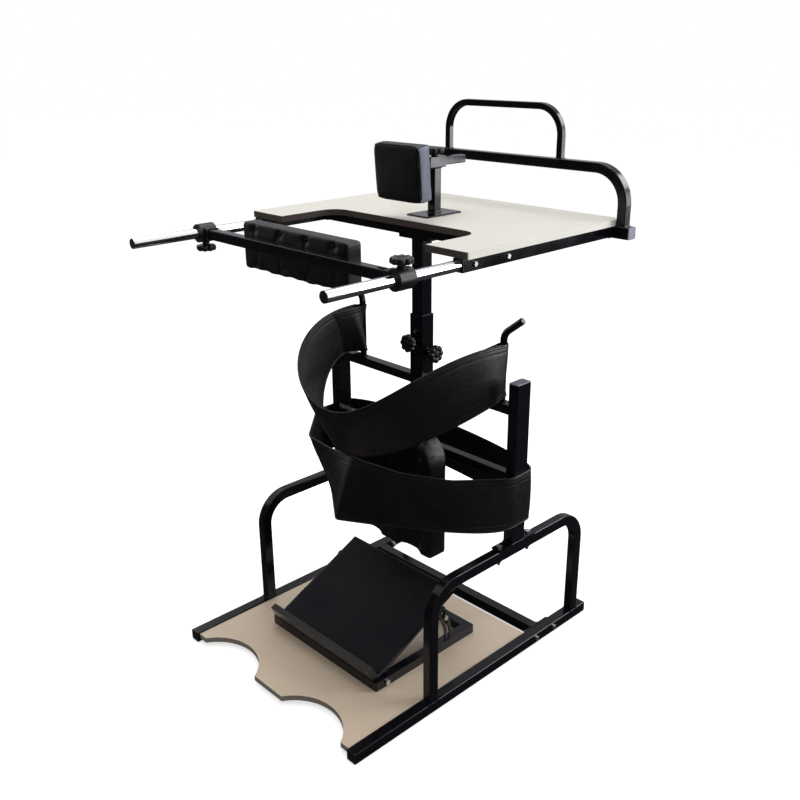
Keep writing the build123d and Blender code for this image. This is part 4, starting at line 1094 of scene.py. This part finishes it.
class STANDING_FRAME_OT_knobs(bpy.types.Operator):
    """Mould the star knobs and cut their studs"""

    bl_idname = "standing_frame.knobs"
    bl_label = "Knobs"

    def execute(self, context):
        detail = context.scene.standing_frame_detail
        for node, (body, out) in KNOBS.items():
            low, high = np.array(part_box(node))
            out = np.array(out, float)
            middle = (low + high) / 2
            span = np.abs((high - low) @ out)
            top = middle + out * span / 2
            side = np.array([1.0, 0, 0]) if abs(out[0]) < 0.5 else np.array([0, 1.0, 0])
            axes = np.stack([side, np.cross(out, side), out])
            head, stud = self.head(detail), self.stud(detail, span)
            moulded = surface(f"{node}_head", top + head[0] @ axes, head[1], body,
                              "black_plastic")
            surface(f"{node}_stud", top + stud[0] @ axes, stud[1], body, "bolt_steel")
            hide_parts(node)
        return {"FINISHED"}

    def head(self, detail):
        """Head: r = R (1 - w s (1 - |cos(n a / 2)|^0.8)) over a turned outline of radius R.

        The outline runs from the neck under the head over the rim to the dished top, and the top
        sinks between lobes by g (1 - |cos(n a / 2)|)."""
        outline = np.array([
            (0.0, -22.0, 0.0, 0.0), (8.6, -22.0, 0.0, 0.0), (9.0, -21.6, 0.0, 0.0),
            (8.8, -18.6, 0.0, 0.0), (9.6, -16.6, 0.0, 0.0), (13.0, -15.6, 0.2, 0.0),
            (20.0, -15.0, 0.9, 0.0), (23.6, -14.0, 1.0, 0.0), (24.8, -12.2, 1.0, 0.0),
            (25.0, -9.0, 1.0, 0.0), (24.8, -5.6, 1.0, 0.0), (23.9, -3.0, 1.0, 0.2),
            (22.0, -1.2, 1.0, 0.7), (19.0, -0.3, 0.9, 1.3), (15.5, -0.1, 0.6, 1.5),
            (12.5, -0.7, 0.3, 0.8), (10.8, -1.7, 0.1, 0.2), (9.4, -1.9, 0.0, 0.0),
            (8.6, -0.7, 0.0, 0.0), (6.0, -0.2, 0.0, 0.0), (0.0, 0.0, 0.0, 0.0)])
        rows = np.linspace(0, len(outline) - 1, 3 * len(outline) - 2)
        radius, z, lobed, sunk = (np.interp(rows, np.arange(len(outline)), outline[:, k])[:, None]
                                  for k in range(4))
        count = 144
        lobe = np.abs(np.cos(detail.knob_lobes * circle(count) / 2))
        r = radius * (1 - lobed * detail.knob_scallop * (1 - lobe ** 0.8))
        points, faces = turned(r, z - sunk * (1 - lobe), count)
        return points * MM, faces

    def stud(self, detail, span):
        """Stud: turned bar of radius 4 mm - 0.45 mm |sin(pi z / pitch)| with a coned tip."""
        under_head, steps_per_turn = 22.5 * MM, 6
        z = np.concatenate([[0.0], np.arange(0, span - under_head,
                                             detail.thread_pitch / steps_per_turn)])
        radius = 4 * MM - 0.45 * MM * np.abs(np.sin(math.pi * z / detail.thread_pitch))
        radius = radius * np.minimum(1, 0.62 + z / (2 * MM))
        radius[0] = 0
        z, radius = np.append(z, z[-1])[:, None], np.append(radius, 0)[:, None]
        return turned(radius, z - span, 20)


FOOTPLATE_TILT = math.radians(25)
MAT_RIM = 9 * MM
MAT_ROUNDING = 0.7 * MM


class STANDING_FRAME_OT_mat(bpy.types.Operator):
    """Roll out the studded rubber mat on the footplate"""

    bl_idname = "standing_frame.mat"
    bl_label = "Footplate mat"

    def execute(self, context):
        detail = context.scene.standing_frame_detail
        node = mesh_points(frame["nodes"]["footplate_mat"].data)
        slope = FOOTPLATE_TILT
        uphill = np.array([0, math.cos(slope), math.sin(slope)])
        square = np.array([0, -math.sin(slope), math.cos(slope)])
        s, n = node @ uphill, node @ square
        half = node[:, 0].max()
        columns, rows = 286, 220
        x = np.linspace(-half, half, columns)[:, None]
        y = np.linspace(s.min(), s.max(), rows)[None]
        top = n.max() - detail.stud_height + self.relief(x, y - s.min(), half, np.ptp(s), detail)
        upper, under = (x[..., None] * [1, 0, 0] + y[..., None] * uphill + level[..., None] * square
                        for level in (top, np.full_like(top, n.min())))
        rims = [np.concatenate([face[:, 0], face[-1, 1:], face[-2::-1, -1], face[0, -2:0:-1]])
                for face in (upper, under)]
        around = len(rims[0])
        points, faces = gathered([(upper.reshape(-1, 3), grid_faces(columns, rows)),
                                  (np.concatenate(rims), grid_faces(2, around, False, True))])
        underside = list(range(len(points) - around, len(points)))
        mesh = bpy.data.meshes.new("footplate_rubber_mat")
        mesh.from_pydata(points.tolist(), [], [*faces.tolist(), underside])
        mat = piece_of("footplate_rubber_mat", tidy_shell(mesh), "footplate_tilt",
                       "black_rubber")
        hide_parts("footplate_mat")
        return {"FINISHED"}

    def relief(self, x, y, half, run, detail):
        """Studs h (1 - (r/R)^4) on a staggered grid inside a plain, rounded rim."""
        pitch = detail.stud_pitch
        row_pitch = pitch * 0.866
        row = np.round(y / row_pitch)
        shift = 0.5 * pitch * (row % 2)
        dx = (x + shift + pitch / 2) % pitch - pitch / 2
        r = np.hypot(dx, y - row * row_pitch) / detail.stud_radius
        edge = np.minimum(np.minimum(half - np.abs(x), y), run - y)
        studs = detail.stud_height * np.maximum(1 - r ** 4, 0) * (edge > MAT_RIM)
        return studs - MAT_ROUNDING * (1 - step(0, 2.2 * MM, edge))


BEAD_STEP = 0.9 * MM
OPEN_SIDES = (1, 2, -1, -2)


def ring_path(middle, half, normal, skip):
    """Rectangle of half sizes about a middle, square to normal, as a path. skip leaves out one
    side: +-1 for the first in-plane axis, +-2 for the second."""
    normal = np.array(normal, float)
    first = np.array([1.0, 0, 0]) if abs(normal[0]) < 0.5 else np.array([0, 1.0, 0])
    second = np.array([0, 0, 1.0]) if abs(normal[2]) < 0.5 else np.array([0, 1.0, 0])
    corners = np.array([(1, 1), (-1, 1), (-1, -1), (1, -1)], float) * half
    if skip:
        corners = np.roll(corners, -OPEN_SIDES.index(skip), axis=0)
    else:
        corners = np.vstack([corners, corners[:1]])
    path = middle + corners[:, :1] * first + corners[:, 1:] * second
    return even(path, max(24, int(4 * sum(half) / BEAD_STEP))), normal, not skip


class STANDING_FRAME_OT_welds(bpy.types.Operator):
    """Run weld beads round the joints of the tubes"""

    bl_idname = "standing_frame.welds"
    bl_label = "Welds"

    def execute(self, context):
        detail = context.scene.standing_frame_detail
        for body, rings in self.joints().items():
            beads = [self.bead(*ring_path(*ring), detail) for ring in rings]
            surface(f"weld_beads_{body}", *gathered(beads), body, "weld", "black_paint")
        return {"FINISHED"}

    def bead(self, path, normal, closed, detail):
        """Rippled cord along the path: radius R (0.9 + 0.22 |sin(pi s / ripple)|)."""
        if closed:
            path = path[:-1]
        ripple = np.abs(np.sin(math.pi * distances(path) / detail.weld_ripple))
        radius = detail.weld * (0.9 + 0.22 * ripple)
        path = eased(path, 2, closed)
        up = np.broadcast_to(normal, path.shape)
        return swept(path, unit(np.cross(heading(path, closed), up)), up, radius, 8, closed)

    def joints(self):
        """Middle, half sizes, normal and left-out side of every welded joint, by body."""
        thin, rail, hoop = 12.5 * MM, 15 * MM, 8.5 * MM
        up, sideways, forwards = (0, 0, 1), (1, 0, 0), (0, 1, 0)
        hoop_x, post_y, inner_x, column_x, chest_y = 0.3375, 0.144, 0.3225, 0.0225, 0.189
        upper_z, knee_z, table_z, handrail_y = 0.7265, 0.5425, 1.135, 0.4505
        base, table = [], []
        for side in (1, -1):
            base += [
                ((side * hoop_x, -0.164, 0.030), (thin, rail), up, side),
                ((side * hoop_x, 0.420, 0.030), (thin, rail), up, side),
                ((side * hoop_x, post_y, 0.367), (rail, 25 * MM), up, None),
                ((side * inner_x, post_y, upper_z), (rail, thin), sideways, None),
                ((side * column_x, post_y, upper_z), (rail, thin), sideways, None),
                ((side * inner_x, post_y, knee_z), (rail, thin), sideways, None),
                ((side * 0.316, 0.279, 0.015), (rail, rail), sideways, -2),
            ]
            table += [
                ((side * 0.341, 0.127, table_z), (rail, rail), sideways, 2),
                ((side * 0.341, chest_y, table_z), (rail, rail), sideways, 2),
                ((side * 0.356, 0.435, table_z), (rail, rail), forwards, 2),
                ((side * 0.3955, handrail_y, 1.150), (thin, thin), up, None),
                ((side * 0.1945, handrail_y, 1.298), (hoop, hoop), up, None),
            ]
        table += [((0, post_y, 1.112), (19 * MM, 19 * MM), up, None),
                  ((0, chest_y, 1.170), (thin, thin), up, None),
                  ((0, chest_y, 1.283), (thin, thin), up, None)]
        return {
            "base": base,
            "table": table,
            "knee_support": [((0, 0.0835, 0.516), (10 * MM, 10 * MM), forwards, None)],
        }


# ---- panel and registration --------------------------------------------------------------
STEPS = (
    STANDING_FRAME_OT_camera, STANDING_FRAME_OT_stage, STANDING_FRAME_OT_finishes,
    STANDING_FRAME_OT_back_rest, STANDING_FRAME_OT_chest_rest, STANDING_FRAME_OT_knee_rest,
    STANDING_FRAME_OT_hip_sling, STANDING_FRAME_OT_knee_strap, STANDING_FRAME_OT_knobs,
    STANDING_FRAME_OT_mat, STANDING_FRAME_OT_welds,
)
GROUPS = {
    "standing_frame_finish": StandingFrameFinish,
    "standing_frame_sewing": StandingFrameSewing,
    "standing_frame_detail": StandingFrameDetail,
    "standing_frame_stage": StandingFrameStage,
}
CLASSES = (*GROUPS.values(), *STEPS)


class STANDING_FRAME_PT_panel(bpy.types.Panel):
    """Lists the settings and the steps"""

    bl_idname = "STANDING_FRAME_PT_panel"
    bl_label = "Standing Frame"
    bl_space_type = "VIEW_3D"
    bl_region_type = "UI"
    bl_category = "Standing Frame"

    def draw(self, context):
        for name in GROUPS:
            settings = getattr(context.scene, name)
            box = self.layout.box()
            for key in settings.__annotations__:
                box.prop(settings, key)
        for operator in STEPS:
            self.layout.operator(operator.bl_idname)


def register():
    for entry in (*CLASSES, STANDING_FRAME_PT_panel):
        bpy.utils.register_class(entry)
    for name, group in GROUPS.items():
        setattr(bpy.types.Scene, name, PointerProperty(type=group))


def unregister():
    for name in GROUPS:
        delattr(bpy.types.Scene, name)
    for entry in (STANDING_FRAME_PT_panel, *reversed(CLASSES)):
        bpy.utils.unregister_class(entry)


def main():
    register()
    for operator in STEPS:
        getattr(bpy.ops.standing_frame, operator.bl_idname.split(".")[1])()


if __name__ == "__main__":
    main()
